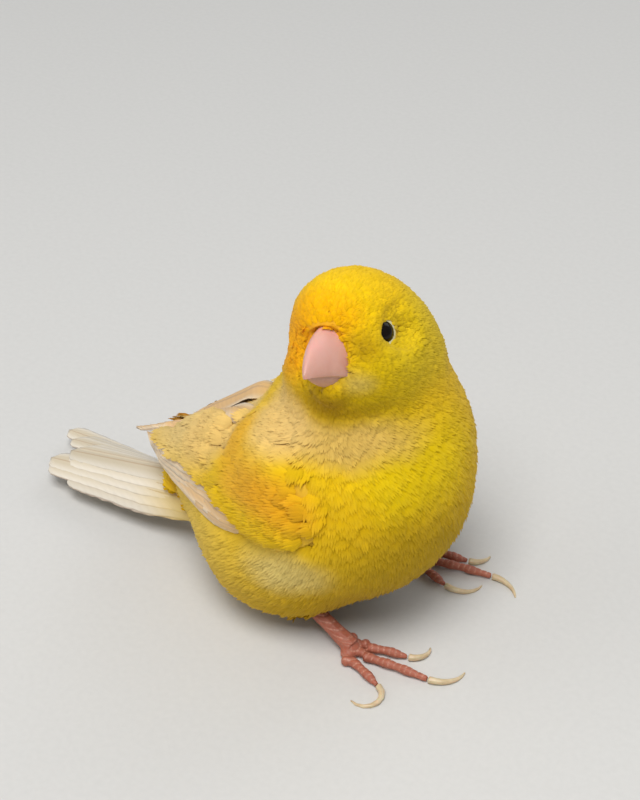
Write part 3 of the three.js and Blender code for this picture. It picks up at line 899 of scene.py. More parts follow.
def scatter_roots(piece, settings, draw, density=1.0):
    """Evenly spaced roots over a surface: points, normals and places on its unwrap."""
    mesh = piece.data
    mesh.calc_loop_triangles()
    count = len(mesh.loop_triangles)
    corners = np.empty(count * 3, dtype=np.int32)
    loops = np.empty(count * 3, dtype=np.int32)
    mesh.loop_triangles.foreach_get("vertices", corners)
    mesh.loop_triangles.foreach_get("loops", loops)
    corners, loops = corners.reshape(-1, 3), loops.reshape(-1, 3)
    flat = np.empty(len(mesh.loops) * 2)
    mesh.uv_layers.active.data.foreach_get("uv", flat)
    unwrapped = flat.reshape(-1, 2)[loops]
    points, normals = points_of(mesh)[corners], normals_of(mesh)[corners]
    areas = np.linalg.norm(
        np.cross(points[:, 1] - points[:, 0], points[:, 2] - points[:, 0]), axis=1
    ) / 2
    _, _, spacing = feather_size(points.mean(axis=1), settings)
    wanted = areas / spacing**2 * density
    picks = draw.choice(count, int(wanted.sum() * 3.2), p=wanted / wanted.sum())
    weights = draw.dirichlet((1, 1, 1), len(picks))[:, :, None]
    roots = (points[picks] * weights).sum(axis=1)
    ups = (normals[picks] * weights).sum(axis=1)
    ups /= np.linalg.norm(ups, axis=1)[:, None]
    places = (unwrapped[picks] * weights).sum(axis=1)
    gaps = spacing[picks] / math.sqrt(density) * settings.feather_spacing
    cell = gaps.max()
    cells = {}
    kept = []
    keys = np.floor(roots / cell).astype(int)
    neighbours = [(i, j, k) for i in (-1, 0, 1) for j in (-1, 0, 1) for k in (-1, 0, 1)]
    for index in range(len(picks)):
        x, y, z = keys[index]
        px, py, pz = roots[index]
        gap = gaps[index] * gaps[index]
        crowded = False
        for i, j, k in neighbours:
            for qx, qy, qz in cells.get((x + i, y + j, z + k), ()):
                if (px - qx) ** 2 + (py - qy) ** 2 + (pz - qz) ** 2 < gap:
                    crowded = True
                    break
            if crowded:
                break
        if not crowded:
            cells.setdefault((x, y, z), []).append((px, py, pz))
            kept.append(index)
    kept = np.array(kept)
    return roots[kept], ups[kept], places[kept]


# The width of a feather's patch on the bake map.
PATCH_WIDTH = 0.003
# A feather has 112 triangles, and a piece may have fewer than 200,000.
FEATHERS_IN_A_PIECE = 1700
# The feathers over the root of the bill: how many, how wide, and how far they stray.
BRISTLES = 150
BRISTLE_WIDTH = 0.42 * MM
BRISTLE_STRAY = 0.3
# The skin is bare this near to the rim of an eye, and behind this place under the tail.
EYE_BARE = 1.85 * MM
COAT_END = -14 * MM


def feathers_piece(name, spines, widths, depths, places, draw, loose=0.0):
    """One piece of feathers, each with a patch of the bake map at its root's place."""
    points, triangles, along, shades, facing = feather_arrays(spines, widths, depths, draw, loose)
    piece = mesh_piece(name, points, triangles, bpy.data.materials["contour_feather_keratin"])
    shade_feathers(piece.data, facing, triangles)
    add_values(piece.data, "along", along)
    add_values(piece.data, "shade", shades)
    spread = np.repeat(np.linspace(-0.5, 0.5, LOCKS), LOCK_POINTS)[None, :, None] * (1.0, 0.0)
    rise = (along.reshape(len(spines), -1)[:, :, None] - 0.5) * (0.0, 1.0)
    corners = places[:, None, :] + (spread + rise) * PATCH_WIDTH
    add_map(piece.data, "OFBake", corners.reshape(-1, 2))
    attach(piece, "root")


def coat_pieces(
    name, surface, piece, settings, draw, keep, flow=flow_at, longer=1.0, density=1.0
):
    """Feathers over a surface, in pieces that each stay well under the most a piece may have."""
    roots, ups, places = scatter_roots(piece, settings, draw, density)
    chosen = [i for i in range(len(roots)) if keep(Vector(roots[i]), Vector(ups[i]))]
    roots, ups, places = roots[chosen], ups[chosen], places[chosen]
    order = np.argsort(roots[:, 0] * 0.4 - roots[:, 2])
    roots, ups, places = roots[order], ups[order], places[order]
    lengths, widths, _ = feather_size(roots, settings)
    lengths = lengths * longer * draw.uniform(0.85, 1.15, len(roots))
    depths = coat_depth(roots)
    spines = [
        spine_on(surface, Vector(roots[i]), Vector(ups[i]), float(lengths[i]), flow)
        for i in range(len(roots))
    ]
    total = math.ceil(len(roots) / FEATHERS_IN_A_PIECE)
    for part, rows in enumerate(np.array_split(np.arange(len(roots)), total)):
        feathers_piece(
            f"{name}_{part + 1}",
            [spines[i] for i in rows],
            widths[rows],
            depths[rows],
            places[rows],
            draw,
        )
    return roots, places


def nearest_places(points, roots, places):
    """The place on the unwrap of the root that lies nearest to each point."""
    return np.array([places[np.linalg.norm(roots - point, axis=1).argmin()] for point in points])


def bristles(surface, roots, places, draw):
    """Short stiff feathers that lie forward over the root of the bill."""
    spines, starts = [], []
    for step in range(BRISTLES):
        turn = 2 * math.pi * (step + draw.uniform(-0.4, 0.4)) / BRISTLES
        outward = HEAD_LEFT * math.cos(turn) + HEAD_UP * math.sin(turn)
        rim = HEAD_LEFT * math.cos(turn) * 4.4 + HEAD_UP * math.sin(turn) * 4.8
        place = BILL_ROOT + (rim + HEAD_FORWARD * draw.uniform(0.6, 2.3)) * MM
        root, up = outermost(surface, place, outward, 3 * MM)
        ahead = HEAD_FORWARD - outward * 0.25 + outward.cross(HEAD_FORWARD) * draw.normal(0, 0.3)
        length = draw.uniform(1.5, 2.9) * MM
        spines.append(spine_on(surface, root, up, length, lambda point, ahead=ahead: ahead))
        starts.append(root)
    widths = np.full(BRISTLES, BRISTLE_WIDTH)
    nearest = nearest_places(starts, roots, places)
    feathers_piece("coat_bristles", spines, widths, widths * 0.8, nearest, draw, BRISTLE_STRAY)


# A vane's shaft stands this high, and its edges lie this much lower than its middle.
SHAFT_HEIGHT = 0.1 * MM
VANE_CAMBER = 0.17 * MM


def vane(point_at, normal_at, width_at, long_steps, wide_steps, thickness, draw):
    """One stiff feather: a closed thin shell with a raised shaft and a slightly ragged edge."""
    tops, bottoms, along, across = [], [], [], []
    for a in range(long_steps + 1):
        u = 1 - (1 - a / long_steps) ** 1.25
        half = width_at(u)
        for b in range(wide_steps + 1):
            v = -1 + 2 * b / wide_steps
            ragged = 1 + (draw.uniform(-0.05, 0.05) if abs(v) == 1 else 0)
            point = point_at(u, v * half * ragged)
            normal = normal_at(u, v * half)
            shaft = SHAFT_HEIGHT * (1 - u * 0.7) if b == wide_steps // 2 else 0
            camber = -VANE_CAMBER * v * v
            tops.append(point + normal * (shaft + camber))
            bottoms.append(point + normal * (camber - thickness))
            along.append(u)
            across.append(v)
    row = wide_steps + 1
    total = len(tops)
    faces = []
    for a in range(long_steps):
        for b in range(wide_steps):
            i = a * row + b
            faces += [(i, i + row, i + row + 1), (i, i + row + 1, i + 1)]
            j = total + i
            faces += [(j, j + row + 1, j + row), (j, j + 1, j + row + 1)]
    rim = list(range(row))
    rim += [a * row + wide_steps for a in range(1, long_steps + 1)]
    rim += [long_steps * row + b for b in range(wide_steps - 1, -1, -1)]
    rim += [a * row for a in range(long_steps - 1, 0, -1)]
    for here, after in zip(rim, rim[1:] + rim[:1]):
        faces += [(here, after, total + after), (here, total + after, total + here)]
    return tops + bottoms, faces, along * 2, across * 2


def vanes_piece(name, vanes, material, draw):
    """Joins stiff feathers into one object."""
    points, faces, along, across, shades = [], [], [], [], []
    for some_points, some_faces, some_along, some_across in vanes:
        start = len(points)
        points += [tuple(p) for p in some_points]
        faces += [(a + start, b + start, c + start) for a, b, c in some_faces]
        along += some_along
        across += some_across
        shades += [draw.uniform(0, 1)] * len(some_points)
    piece = mesh_piece(name, np.array(points), np.array(faces), material)
    recalculate_normals(piece)
    add_values(piece.data, "along", along)
    add_values(piece.data, "across", across)
    add_values(piece.data, "shade", shades)
    return piece


# Wings


def wing_edges(share):
    """The wing's top and lower edge, in degrees from the top of the trunk."""
    share = min(max(share, 0.0), 1.0)
    top = 2 + 8 * share + 62 * share**2.5
    low = 24 + 50 * (1 - math.exp(-share / 0.14)) + 24 * share
    return top, low


def wing_side(point):
    """Which wing a point belongs to."""
    return "right" if point.y < BODY_Y * MM else "left"


def wing_place(side, point):
    """Where a point lies on a wing: its share of the length and of the width."""
    x, y, z = point / MM
    share = (x - BODY_X - WING_TIP_X[side]) / (SHOULDER_X - WING_TIP_X[side])
    height = z - float(np.interp(x - BODY_X, WING_AXIS_X, WING_AXIS_Z))
    angle = math.degrees(math.atan2(WING_SIDE[side] * (y - BODY_Y), height))
    top, low = wing_edges(share)
    return share, (angle - top) / (low - top)


class WingSurface:
    """The outside of one folded wing, smoothed: a point for each share of its length and angle."""

    SHARES = 48
    ANGLES = 60
    WIDEST = 125.0

    def __init__(self, side, tree):
        self.side = side
        reach = np.full((self.SHARES + 1, self.ANGLES + 1), np.nan)
        for i in range(self.SHARES + 1):
            for j in range(self.ANGLES + 1):
                axis, out = self.ray(-0.05 + 1.1 * i / self.SHARES, self.WIDEST * j / self.ANGLES)
                hit, _, _, _ = tree.ray_cast(axis + out * 45 * MM, -out, 45 * MM)
                if hit is not None:
                    reach[i, j] = (hit - axis).length
        for i in range(self.SHARES, -1, -1):
            row = reach[i]
            known = ~np.isnan(row)
            if known.any():
                reach[i] = np.interp(np.arange(len(row)), np.flatnonzero(known), row[known])
            else:
                reach[i] = reach[min(i + 1, self.SHARES)]
        for _ in range(3):
            padded = np.pad(reach, 1, mode="edge")
            reach = (
                padded[1:-1, 1:-1] * 2
                + padded[:-2, 1:-1]
                + padded[2:, 1:-1]
                + padded[1:-1, :-2]
                + padded[1:-1, 2:]
            ) / 6
        self.reach = reach

    def ray(self, share, angle):
        x = WING_TIP_X[self.side] + (SHOULDER_X - WING_TIP_X[self.side]) * share
        z = float(np.interp(x, WING_AXIS_X, WING_AXIS_Z))
        turn = math.radians(angle)
        out = Vector((0, WING_SIDE[self.side] * math.sin(turn), math.cos(turn)))
        return mm(x + BODY_X, BODY_Y, z), out

    def radius(self, share, angle):
        i = min(max((share + 0.05) / 1.1, 0), 0.9999) * self.SHARES
        j = min(max(angle / self.WIDEST, 0), 0.9999) * self.ANGLES
        a, b = int(i), int(j)
        s, t = i - a, j - b
        near = self.reach[a, b] * (1 - t) + self.reach[a, b + 1] * t
        far = self.reach[a + 1, b] * (1 - t) + self.reach[a + 1, b + 1] * t
        return float(near * (1 - s) + far * s)

    def point(self, share, angle, lift):
        axis, out = self.ray(share, angle)
        return axis + out * (self.radius(share, angle) + lift), out


# The folded flight feathers, from the outermost at the wing's lower edge to the innermost:
# where each tip ends as a share of the wing, and its lower edge as a share of the wing's width.
FLIGHT_TIPS = [0.0, 0.0, 0.012, 0.028, 0.048, 0.075, 0.1, 0.13, 0.165, 0.21, 0.27]
FLIGHT_EDGES = [1.03, 0.95, 0.87, 0.805, 0.74, 0.67, 0.59, 0.48, 0.37, 0.26, 0.16]
NARROW_FEATHERS = 6
# Their widths, and how deep their roots lie under the coverts.
NARROW_WIDTH = 4.4
BROAD_WIDTH = 5.6
ROOT_DEPTH = 2.3 * MM

# How far forward on the wing the small coverts start, by their share of the wing's width.
COVERT_WIDTHS = [0, 0.35, 0.6, 0.8, 1]
COVERT_STARTS = [0.46, 0.46, 0.55, 0.72, 0.94]
# The same for the great coverts that lie on the flight feathers, and their front and top ends.
GREAT_COVERT_WIDTHS = [0, 0.5, 0.66, 0.8, 1]
GREAT_COVERT_STARTS = [0.08, 0.14, 0.45, 0.75, 0.97]
GREAT_COVERT_FRONT = 0.62
GREAT_COVERT_TOP = {"right": 0.12, "left": 0.4}


def flight_feather(surface, index, draw):
    """One folded flight feather; each lies on the one outside it and shows its lower edge."""
    tip, low_edge = FLIGHT_TIPS[index], FLIGHT_EDGES[index]
    narrow = index < NARROW_FEATHERS
    root = 0.93 - 0.015 * index if narrow else 0.56
    width = NARROW_WIDTH if narrow else BROAD_WIDTH
    inner = index / (len(FLIGHT_TIPS) - 1)
    lift = (-0.4 + 0.12 * index) * MM

    def angle_of(u, offset):
        share = root + (tip - root) * u
        top, low = wing_edges(share)
        gather = 0.35 + 0.65 * float(eased(share, -0.02, 0.2))
        fraction = 0.72 + (low_edge - 0.72) * gather
        edge = top + (low - top) * fraction
        radius = surface.radius(share, edge) / MM
        span = math.degrees(1 / max(radius, 4.0))
        span = min(span, max(edge - 2.0, 1.0) / width)
        return share, edge - (width / 2 + offset) * span

    def point_at(u, offset):
        share, angle = angle_of(u, offset)
        rise = -ROOT_DEPTH + (lift + ROOT_DEPTH) * float(eased(u, 0.0, 0.42))
        return surface.point(share, angle, rise)[0]

    def normal_at(u, offset):
        share, angle = angle_of(u, offset)
        return surface.point(share, angle, 0)[1]

    def width_at(u):
        grown = 0.7 + 0.3 * float(eased(u, 0, 0.25))
        blunt = 0.84 + 0.08 * inner
        if u > blunt:
            grown *= max(math.sqrt(max(1 - ((u - blunt) / (1.0 - blunt)) ** 2, 0)), 0.06)
        return width / 2 * grown

    return vane(point_at, normal_at, width_at, 20, 8, 0.1 * MM, draw)


TAIL_FEATHERS = 12
TAIL_FEATHER_WIDTH = 4.4
# Their roots lie this far inside the body, in mm.
TAIL_DEPTH = 3.0
# They are joined from the outer pair to the middle one.
TAIL_ORDER = (0, 11, 1, 10, 2, 9, 3, 8, 4, 7, 5, 6)


def tail_feather(index, draw):
    """One of twelve tail feathers; the middle pair lies on top."""
    blade = index // 2
    reach = TAIL_REACH[blade] - (0.9 if (index % 2 == 0) == (index < TAIL_FEATHERS / 2) else 0.0)
    from_middle = abs(index - (TAIL_FEATHERS - 1) / 2)
    width = TAIL_FEATHER_WIDTH
    lift = (0.62 - 0.13 * from_middle) * MM

    def point_at(u, offset):
        travelled = -TAIL_DEPTH + (reach + TAIL_DEPTH) * u
        share = travelled / (TAIL_ROOT["x"] - TAIL_TIP["x"])
        place = {
            key: start + share * (TAIL_TIP[key] - start) for key, start in TAIL_ROOT.items()
        }
        half_width = place["half_width"]
        slot = 2 * half_width / TAIL_FEATHERS
        middle = -half_width + slot * (index + 0.5)
        limit = half_width - width / 2 + 0.2
        middle = max(-limit, min(limit, middle))
        y = middle + offset
        drop = place["roof"] * abs(y / half_width) ** 1.4
        on_roof = mm(TAIL_ROOT["x"] - travelled, place["y"] + y, place["z"] - drop)
        return on_roof + Vector((0, 0, lift))

    def normal_at(u, offset):
        return Vector((-0.22, 0, 0.97)).normalized()

    def width_at(u):
        grown = 0.55 + 0.45 * float(eased(u, 0, 0.5))
        if u > 0.93:
            grown *= max(math.sqrt(max(1 - ((u - 0.93) / 0.07) ** 2, 0)), 0.08)
        return width / 2 * grown

    return vane(point_at, normal_at, width_at, 22, 8, 0.18 * MM, draw)


# Settings


def colour_setting(name, description, hex_colour):
    return bpy.props.FloatVectorProperty(
        name=name,
        description=description,
        subtype="COLOR",
        size=4,
        min=0.0,
        max=1.0,
        default=linear(hex_colour),
    )


class CanarySettings(bpy.types.PropertyGroup):
    feather_length: bpy.props.FloatProperty(
        name="Feather length",
        description="Length of the longest contour feathers of the body",
        default=7.4 * MM,
        min=2 * MM,
        unit="LENGTH",
    )
    feather_spacing: bpy.props.FloatProperty(
        name="Feather spacing",
        description="How far apart feathers are rooted, as a share of the usual spacing",
        default=1.0,
        min=0.5,
        max=4.0,
        subtype="FACTOR",
    )
    skin_voxel: bpy.props.FloatProperty(
        name="Skin detail",
        description="Size of the facets of the skin",
        default=0.36 * MM,
        min=0.2 * MM,
        unit="LENGTH",
    )
    seed: bpy.props.IntProperty(
        name="Seed",
        description="Starts the random variation of the feathers",
        default=11,
    )
    plumage_yellow: colour_setting(
        "Plumage yellow", "Colour of the plumage between its markings", "#edc012"
    )
    flight_tan: colour_setting(
        "Flight feather tan", "Colour of the middle of the flight feathers", "#dcb47e"
    )
    tail_cream: colour_setting(
        "Tail feather cream", "Colour of the middle of the tail feathers", "#d2c3a8"
    )
    bill_pink: colour_setting("Bill pink", "Colour of the upper part of the bill", "#eaa79c")
    foot_red: colour_setting("Foot red", "Darker colour of the scutes of the feet", "#8c3d2a")
    claw_horn: colour_setting("Claw horn", "Paler colour of the claws", "#e6d6b0")


def finish_piece(piece, material, nodes=()):
    """Gives a piece its material and its place in the frame, and hides the given CAD nodes."""
    piece.data.materials.clear()
    piece.data.materials.append(material)
    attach(piece, "root")
    if nodes:
        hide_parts(*nodes)


# Operators


class CANARY_OT_skin(bpy.types.Operator):
    """Builds the skin with its eyelids, under the depth of the coat"""

    bl_idname = "canary.skin"
    bl_label = "Skin"

    def execute(self, context):
        settings = context.scene.canary
        lids = []
        for side in ("left", "right"):
            axis = eye_axis(side)
            for out, radius, width in LID_RINGS:
                lids.append(add_ring(EYES[side] + axis * out * MM, axis, radius * MM, width * MM))
        face, chin = (
            add_ball(BILL_ROOT + (HEAD_FORWARD * ahead + HEAD_UP * up) * MM, radius * MM)
            for ahead, up, radius in BILL_BALLS
        )
        rims = [
            add_ring(BILL_ROOT + HEAD_FORWARD * ahead * MM, HEAD_FORWARD, radius * MM, width * MM)
            for ahead, radius, width in BILL_RINGS
        ]
        skin = soft_copy("skin", FLESH, settings.skin_voxel, 6, [*lids, *rims, face, chin])
        points, normals = points_of(skin.data), normals_of(skin.data)
        set_points(skin.data, points - normals * coat_depth(points)[:, None])
        apply_modifier(skin, "SMOOTH", factor=0.4, iterations=2)
        unwrap(skin)
        finish_piece(skin, skin_material(settings), FLESH)
        return {"FINISHED"}


class CANARY_OT_wings(bpy.types.Operator):
    """Builds the body of each wing and its folded flight feathers"""

    bl_idname = "canary.wings"
    bl_label = "Wings"

    def execute(self, context):
        settings = context.scene.canary
        draw = np.random.default_rng(settings.seed + 1)
        flight = vane_material(
            "flight_feather_keratin", settings.flight_tan, "#ecd6b6", "#e3b454", 0.42
        )
        skin_tree = surface_tree([bpy.data.objects["skin"]])
        for side in ("right", "left"):
            nodes = [f"wing_{side}_{part}" for part in WING_PARTS]
            copies = bmesh.new()
            for node in nodes + FLESH[2:]:
                copies.from_mesh(frame["nodes"][node].data)
            bmesh.ops.remove_doubles(copies, verts=copies.verts, dist=MERGE_DISTANCE)
            tree = BVHTree.FromBMesh(copies)
            copies.free()
            surface = WingSurface(side, tree)
            pad = soft_copy(f"wing_{side}_body", nodes[:1], 0.4 * MM, 8)
            points = points_of(pad.data)
            for row, point in enumerate(points):
                share, fraction = wing_place(side, Vector(point))
                swell = min(
                    float(eased(share, 1.0, 0.8)),
                    float(eased(share, 0.46, 0.56)),
                    float(eased(fraction, 0.0, 0.25)),
                    float(eased(fraction, 1.0, 0.85)),
                )
                near = skin_tree.find_nearest(Vector(point))[0]
                points[row] = near.lerp(Vector(point), 0.22 + 0.48 * swell)
            set_points(pad.data, points)
            apply_modifier(pad, "SMOOTH", factor=0.5, iterations=4)
            unwrap(pad)
            finish_piece(pad, bpy.data.materials["canary_skin"], nodes[:1])
            feathers = [flight_feather(surface, i, draw) for i in range(len(FLIGHT_TIPS))]
            vanes = vanes_piece(f"wing_{side}_flight_feathers", feathers, flight, draw)
            finish_piece(vanes, flight, nodes[1:])
        return {"FINISHED"}


class CANARY_OT_tail(bpy.types.Operator):
    """Builds the twelve tail feathers"""

    bl_idname = "canary.tail"
    bl_label = "Tail"

    def execute(self, context):
        settings = context.scene.canary
        draw = np.random.default_rng(settings.seed + 2)
        material = vane_material(
            "tail_feather_keratin", settings.tail_cream, "#e6dccb", "#dcb94c", 0.5
        )
        feathers = [tail_feather(index, draw) for index in TAIL_ORDER]
        tail = vanes_piece("tail_feathers", feathers, material, draw)
        nodes = [f"tail_{side}_{part}" for side in ("left", "right") for part in TAIL_PARTS]
        finish_piece(tail, material, nodes)
        return {"FINISHED"}


class CANARY_OT_coat(bpy.types.Operator):
    """Grows the contour feathers on the skin and the wings"""

    bl_idname = "canary.coat"
    bl_label = "Coat"

    def execute(self, context):
        settings = context.scene.canary
        draw = np.random.default_rng(settings.seed)
        plumage_material(settings)
        skin = bpy.data.objects["skin"]
        pads = [bpy.data.objects[f"wing_{side}_body"] for side in ("right", "left")]
        vanes = [bpy.data.objects[f"wing_{side}_flight_feathers"] for side in ("right", "left")]
        surface = surface_tree([skin, *pads])
        wing_surface = surface_tree([skin, *pads, *vanes])
        horns = [bpy.data.objects[f"bill_{half}_horn"] for half in BILL]
        bill_surface = surface_tree(horns)
        face = surface_tree([skin, *horns])
        pads_only = surface_tree(pads)

        def on_body(point, up):
            covered = pads_only.ray_cast(point + up * 0.1 * MM, up, 1.8 * MM)[0] is not None
            for rim in EYE_RIMS.values():
                if (point - rim).length < EYE_BARE:
                    return False
            near, outward, _, _ = bill_surface.find_nearest(point)
            if (point - near).dot(outward) < 0.1 * MM and (point - near).length < 3 * MM:
                return False
            return not covered and point.x > COAT_END

        def on_wing(point, up):
            outer = Vector((0, math.copysign(0.8, point.y), 0.6))
            share, fraction = wing_place(wing_side(point), point)
            start = np.interp(fraction, COVERT_WIDTHS, COVERT_STARTS)
            return up.dot(outer) > 0.0 and share > start

        def over_flight(point, up):
            outer = Vector((0, math.copysign(0.8, point.y), 0.6))
            side = wing_side(point)
            share, fraction = wing_place(side, point)
            start = np.interp(fraction, GREAT_COVERT_WIDTHS, GREAT_COVERT_STARTS)
            inside = fraction > GREAT_COVERT_TOP[side] and start < share < GREAT_COVERT_FRONT
            shown = wing_surface.ray_cast(point + up * 0.2 * MM, up, 3 * MM)[0] is None
            return shown and inside and up.dot(outer) > 0.3

        roots, places = coat_pieces("coat_body", surface, skin, settings, draw, on_body)
        for side, pad, blades in zip(("right", "left"), pads, vanes):
            tip = mm(-24, WING_SIDE[side] * 4, 15)

            def to_tip(point, tip=tip):
                return (tip - point).normalized()

            coat_pieces(
                f"coat_wing_{side}",
                wing_surface,
                pad,
                settings,
                draw,
                on_wing,
                flow=to_tip,
                longer=0.95,
            )
            unwrap(blades)
            coat_pieces(
                f"coat_coverts_{side}",
                wing_surface,
                blades,
                settings,
                draw,
                over_flight,
                flow=to_tip,
                longer=0.85,
                density=1.5,
            )
        bristles(face, roots, places, draw)
        return {"FINISHED"}


def bend_point(line, share):
    """A point of the curve that three points steer."""
    first, second, third = (np.array(point) for point in line)
    rest = 1 - share
    return first * rest * rest + second * 2 * rest * share + third * share * share


# The rings of a bill half and the points round each. The nostril lies ahead, beside and up from
# the bill's middle, in mm: a dent of this depth and reach, with a raised rim round it.
BILL_STATIONS = 34
BILL_AROUND = 48
NOSTRIL = (6.4, 3.0, 0.2)
NOSTRIL_DEPTH = 0.5
NOSTRIL_RIM = 0.14


def bill_shell(name, outline, material):
    """Half of the bill: closed rings from inside the face to the tip."""
    stations, around = BILL_STATIONS, BILL_AROUND
    middle = (EYES["left"] + EYES["right"]) / 2 - HEAD_FORWARD * 0.4 * MM - HEAD_UP * 0.1 * MM
    upper = outline["top"][0][1] > 0
    points = []
    for station in range(stations + 1):
        share = -0.22 + 1.22 * (1 - (1 - station / stations) ** 1.2)
        top, bottom = bend_point(outline["top"], share), bend_point(outline["bottom"], share)
        taper = min(max(1 - share, 0), 1) ** 0.8
        half = 0.16 + (outline["half_width"] - 0.16) * taper
        for step in range(around):
            turn = 2 * math.pi * step / around
            arch = math.sin(turn) if math.sin(turn) > 0 else math.sin(turn) * 0.06
            rise = arch if upper else 1 - arch
            ahead, up = bottom + (top - bottom) * rise
            beside = half * math.cos(turn) * (1 - 0.1 * abs(arch))
            for side in (-1, 1) if upper else ():
                away = math.hypot(
                    (ahead - NOSTRIL[0]) * 0.7, beside - side * NOSTRIL[1], up - NOSTRIL[2]
                )
                beside -= side * NOSTRIL_DEPTH * math.exp(-((away / 0.5) ** 2))
                beside += side * NOSTRIL_RIM * math.exp(-(((away - 1.0) / 0.4) ** 2))
            place = middle + (HEAD_FORWARD * ahead + HEAD_LEFT * beside + HEAD_UP * up) * MM
            points.append(tuple(place))
    faces = []
    for station in range(stations):
        for step in range(around):
            after = (step + 1) % around
            a, b = station * around + step, station * around + after
            faces += [(a, b, b + around), (a, b + around, a + around)]
    for ring in (0, stations * around):
        points.append(tuple(np.mean(points[ring : ring + around], axis=0)))
        for step in range(around):
            edge = (ring + step, ring + (step + 1) % around, len(points) - 1)
            faces.append(edge if ring else edge[::-1])
    piece = mesh_piece(name, np.array(points), np.array(faces), material)
    recalculate_normals(piece)
    return piece


class CANARY_OT_bill(bpy.types.Operator):
    """Builds the upper and lower bill with its nostrils"""

    bl_idname = "canary.bill"
    bl_label = "Bill"

    def execute(self, context):
        horn = bill_material(context.scene.canary)
        for half, outline in BILL.items():
            bill = bill_shell(f"bill_{half}_horn", outline, horn)
            finish_piece(bill, horn, ["bill_" + half])
        return {"FINISHED"}


# How far the cornea stands out from the ball of the eye.
CORNEA_BULGE = 0.18 * MM


class CANARY_OT_eyes(bpy.types.Operator):
    """Builds the two eyes"""

    bl_idname = "canary.eyes"
    bl_label = "Eyes"

    def execute(self, context):
        cornea = eye_material()
        for side in ("left", "right"):
            eye = add_ball(EYES[side], EYE_RADIUS, 48, 32)
            points = points_of(eye.data)
            axis = np.array(eye_axis(side))
            out = (points - np.array(EYES[side])) @ axis / EYE_RADIUS
            bulge = CORNEA_BULGE * eased(out, 0.72, 1.0)
            set_points(eye.data, points + axis * bulge[:, None])
            eye.name = f"eye_{side}_ball"
            eye.data.shade_smooth()
            finish_piece(eye, cornea, ["eye_" + side])
        return {"FINISHED"}


# Balls that join each toe to the foot, their height, and how far behind the leg's front they meet.
KNUCKLE_RADIUS = 0.85 * MM
KNUCKLE_HEIGHT = 0.95 * MM
HUB_BACK = 1.7 * MM
# The length of a scute along a toe, the depth of the groove between two, and the toes' own swell.
SCUTE_LENGTH = 0.95 * MM
GROOVE_DEPTH = 0.1 * MM
TOE_SWELL = 0.07 * MM


class CANARY_OT_feet(bpy.types.Operator):
    """Builds the scaled legs and toes, and the claws"""

    bl_idname = "canary.feet"
    bl_label = "Feet"

    def execute(self, context):
        settings = context.scene.canary
        scutes, horn = foot_material(settings), claw_material(settings)
        for side in ("right", "left"):
            nodes = [f"toe_{side}_{toe}" for toe in TOES]
            knuckles = []
            hub = np.array(box_middle("leg_" + side))
            hub[0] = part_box("leg_" + side)[1][0] - HUB_BACK
            for node in nodes:
                low, high = (np.array(corner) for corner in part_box(node))
                near = np.array([
                    low[0] if abs(low[0] - hub[0]) < abs(high[0] - hub[0]) else high[0],
                    (low[1] + high[1]) / 2,
                    KNUCKLE_HEIGHT,
                ])
                inner = np.array([hub[0], (near[1] + hub[1]) / 2, KNUCKLE_HEIGHT])
                towards = near * 0.72 + inner * 0.28
                knuckles.append(add_ball(Vector(towards), KNUCKLE_RADIUS, 16, 10))
            foot = soft_copy(f"foot_{side}", ["leg_" + side, *nodes], 0.18 * MM, 5, knuckles)
            points, normals = points_of(foot.data), normals_of(foot.data)
            heel_share = eased(points[:, 2], 1.8 * MM, 3.2 * MM)
            run = np.hypot(points[:, 0] - hub[0], points[:, 1] - hub[1]) * (1 - heel_share)
            run = run + points[:, 2] * 1.3 * heel_share
            phase = (run / SCUTE_LENGTH) % 1.0
            groove = np.exp(-(((phase - 0.5) / 0.12) ** 2)) * eased(normals[:, 2], -0.1, 0.4)
            lump = np.cos(run / MM * 1.9) * TOE_SWELL * (1 - heel_share)
            moved = points + normals * (lump - groove * GROOVE_DEPTH)[:, None]
            moved[:, 2] = np.maximum(moved[:, 2], points[:, 2].min())
            set_points(foot.data, moved)
            add_values(foot.data, "groove", groove * 0.6)
            finish_piece(foot, scutes, ["leg_" + side, *nodes])
            for toe in TOES:
                node = f"claw_{side}_{toe}"
                claw = soft_copy(node + "_horn", [node], 0.1 * MM, 2)
                swollen = points_of(claw.data) + normals_of(claw.data) * 0.1 * MM
                swollen[:, 2] = np.maximum(swollen[:, 2], 0)
                set_points(claw.data, swollen)
                finish_piece(claw, horn, [node])
        return {"FINISHED"}


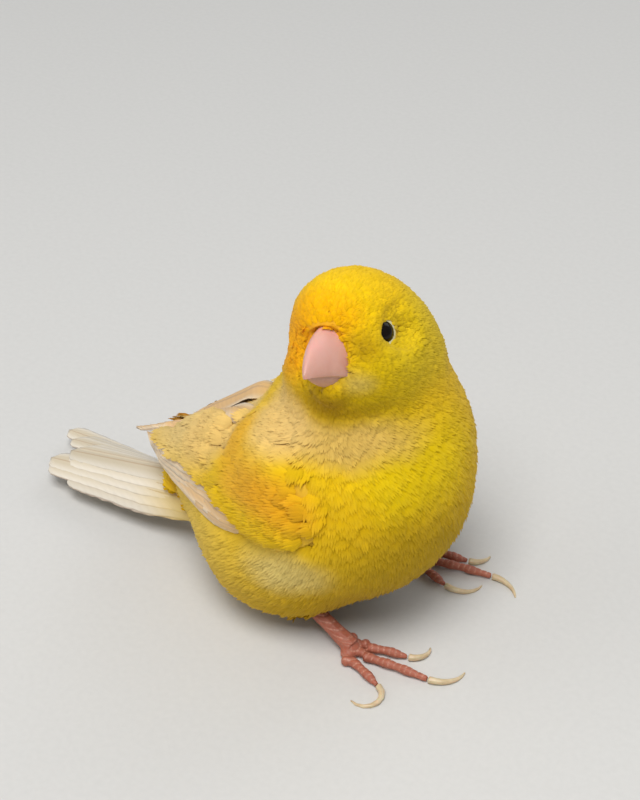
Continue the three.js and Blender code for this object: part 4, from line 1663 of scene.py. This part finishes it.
class CANARY_OT_stage(bpy.types.Operator):
    """Builds the floor, the lights and the camera"""

    bl_idname = "canary.stage"
    bl_label = "Stage"

    def execute(self, context):
        deselect()
        bpy.ops.mesh.primitive_plane_add(size=4.0, location=(0, 0, 0))
        floor = context.object
        floor.name = "studio_floor"
        floor.data.materials.append(floor_material())
        for name, place, size, power in LAMPS:
            deselect()
            bpy.ops.object.light_add(type="AREA", location=place)
            lamp = context.object
            lamp.name = name + "_light"
            lamp.data.size = size
            lamp.data.energy = power
            aim = mm(*LAMP_TARGET) - Vector(place)
            lamp.rotation_euler = aim.to_track_quat("-Z", "Y").to_euler()
        context.scene.view_settings.view_transform = "Standard"
        world = bpy.data.worlds.new("studio")
        world.use_nodes = True
        world.node_tree.nodes["Background"].inputs[0].default_value = SKY_COLOUR
        world.node_tree.nodes["Background"].inputs[1].default_value = SKY_STRENGTH
        context.scene.world = world
        azimuth, elevation = math.radians(CAMERA_AZIMUTH), math.radians(CAMERA_ELEVATION)
        back = Vector((
            math.sin(azimuth) * math.cos(elevation),
            -math.cos(azimuth) * math.cos(elevation),
            math.sin(elevation),
        ))
        deselect()
        distance = CAMERA_DISTANCE * MM
        bpy.ops.object.camera_add(location=mm(*CAMERA_TARGET) + back * distance)
        camera = context.object
        camera.rotation_euler = (-back).to_track_quat("-Z", "Y").to_euler()
        camera.data.lens = CAMERA_LENS
        camera.data.clip_start = 0.01
        context.scene.camera = camera
        return {"FINISHED"}


class CANARY_PT_parts(bpy.types.Panel):
    bl_idname = "CANARY_PT_parts"
    bl_label = "Canary"
    bl_space_type = "VIEW_3D"
    bl_region_type = "UI"
    bl_category = "Canary"

    def draw(self, context):
        for name in CanarySettings.__annotations__:
            self.layout.prop(context.scene.canary, name)
        for operator in OPERATORS:
            self.layout.operator(operator.bl_idname)


OPERATORS = [
    CANARY_OT_skin,
    CANARY_OT_wings,
    CANARY_OT_tail,
    CANARY_OT_coat,
    CANARY_OT_bill,
    CANARY_OT_eyes,
    CANARY_OT_feet,
    CANARY_OT_stage,
]


def register():
    for kind in [CanarySettings, *OPERATORS, CANARY_PT_parts]:
        bpy.utils.register_class(kind)
    bpy.types.Scene.canary = bpy.props.PointerProperty(type=CanarySettings)


def unregister():
    del bpy.types.Scene.canary
    for kind in [CANARY_PT_parts, *reversed(OPERATORS), CanarySettings]:
        bpy.utils.unregister_class(kind)


def main():
    register()
    bpy.ops.canary.skin()
    bpy.ops.canary.wings()
    bpy.ops.canary.tail()
    bpy.ops.canary.bill()
    bpy.ops.canary.coat()
    bpy.ops.canary.eyes()
    bpy.ops.canary.feet()
    bpy.ops.canary.stage()


if __name__ == "__main__":
    main()
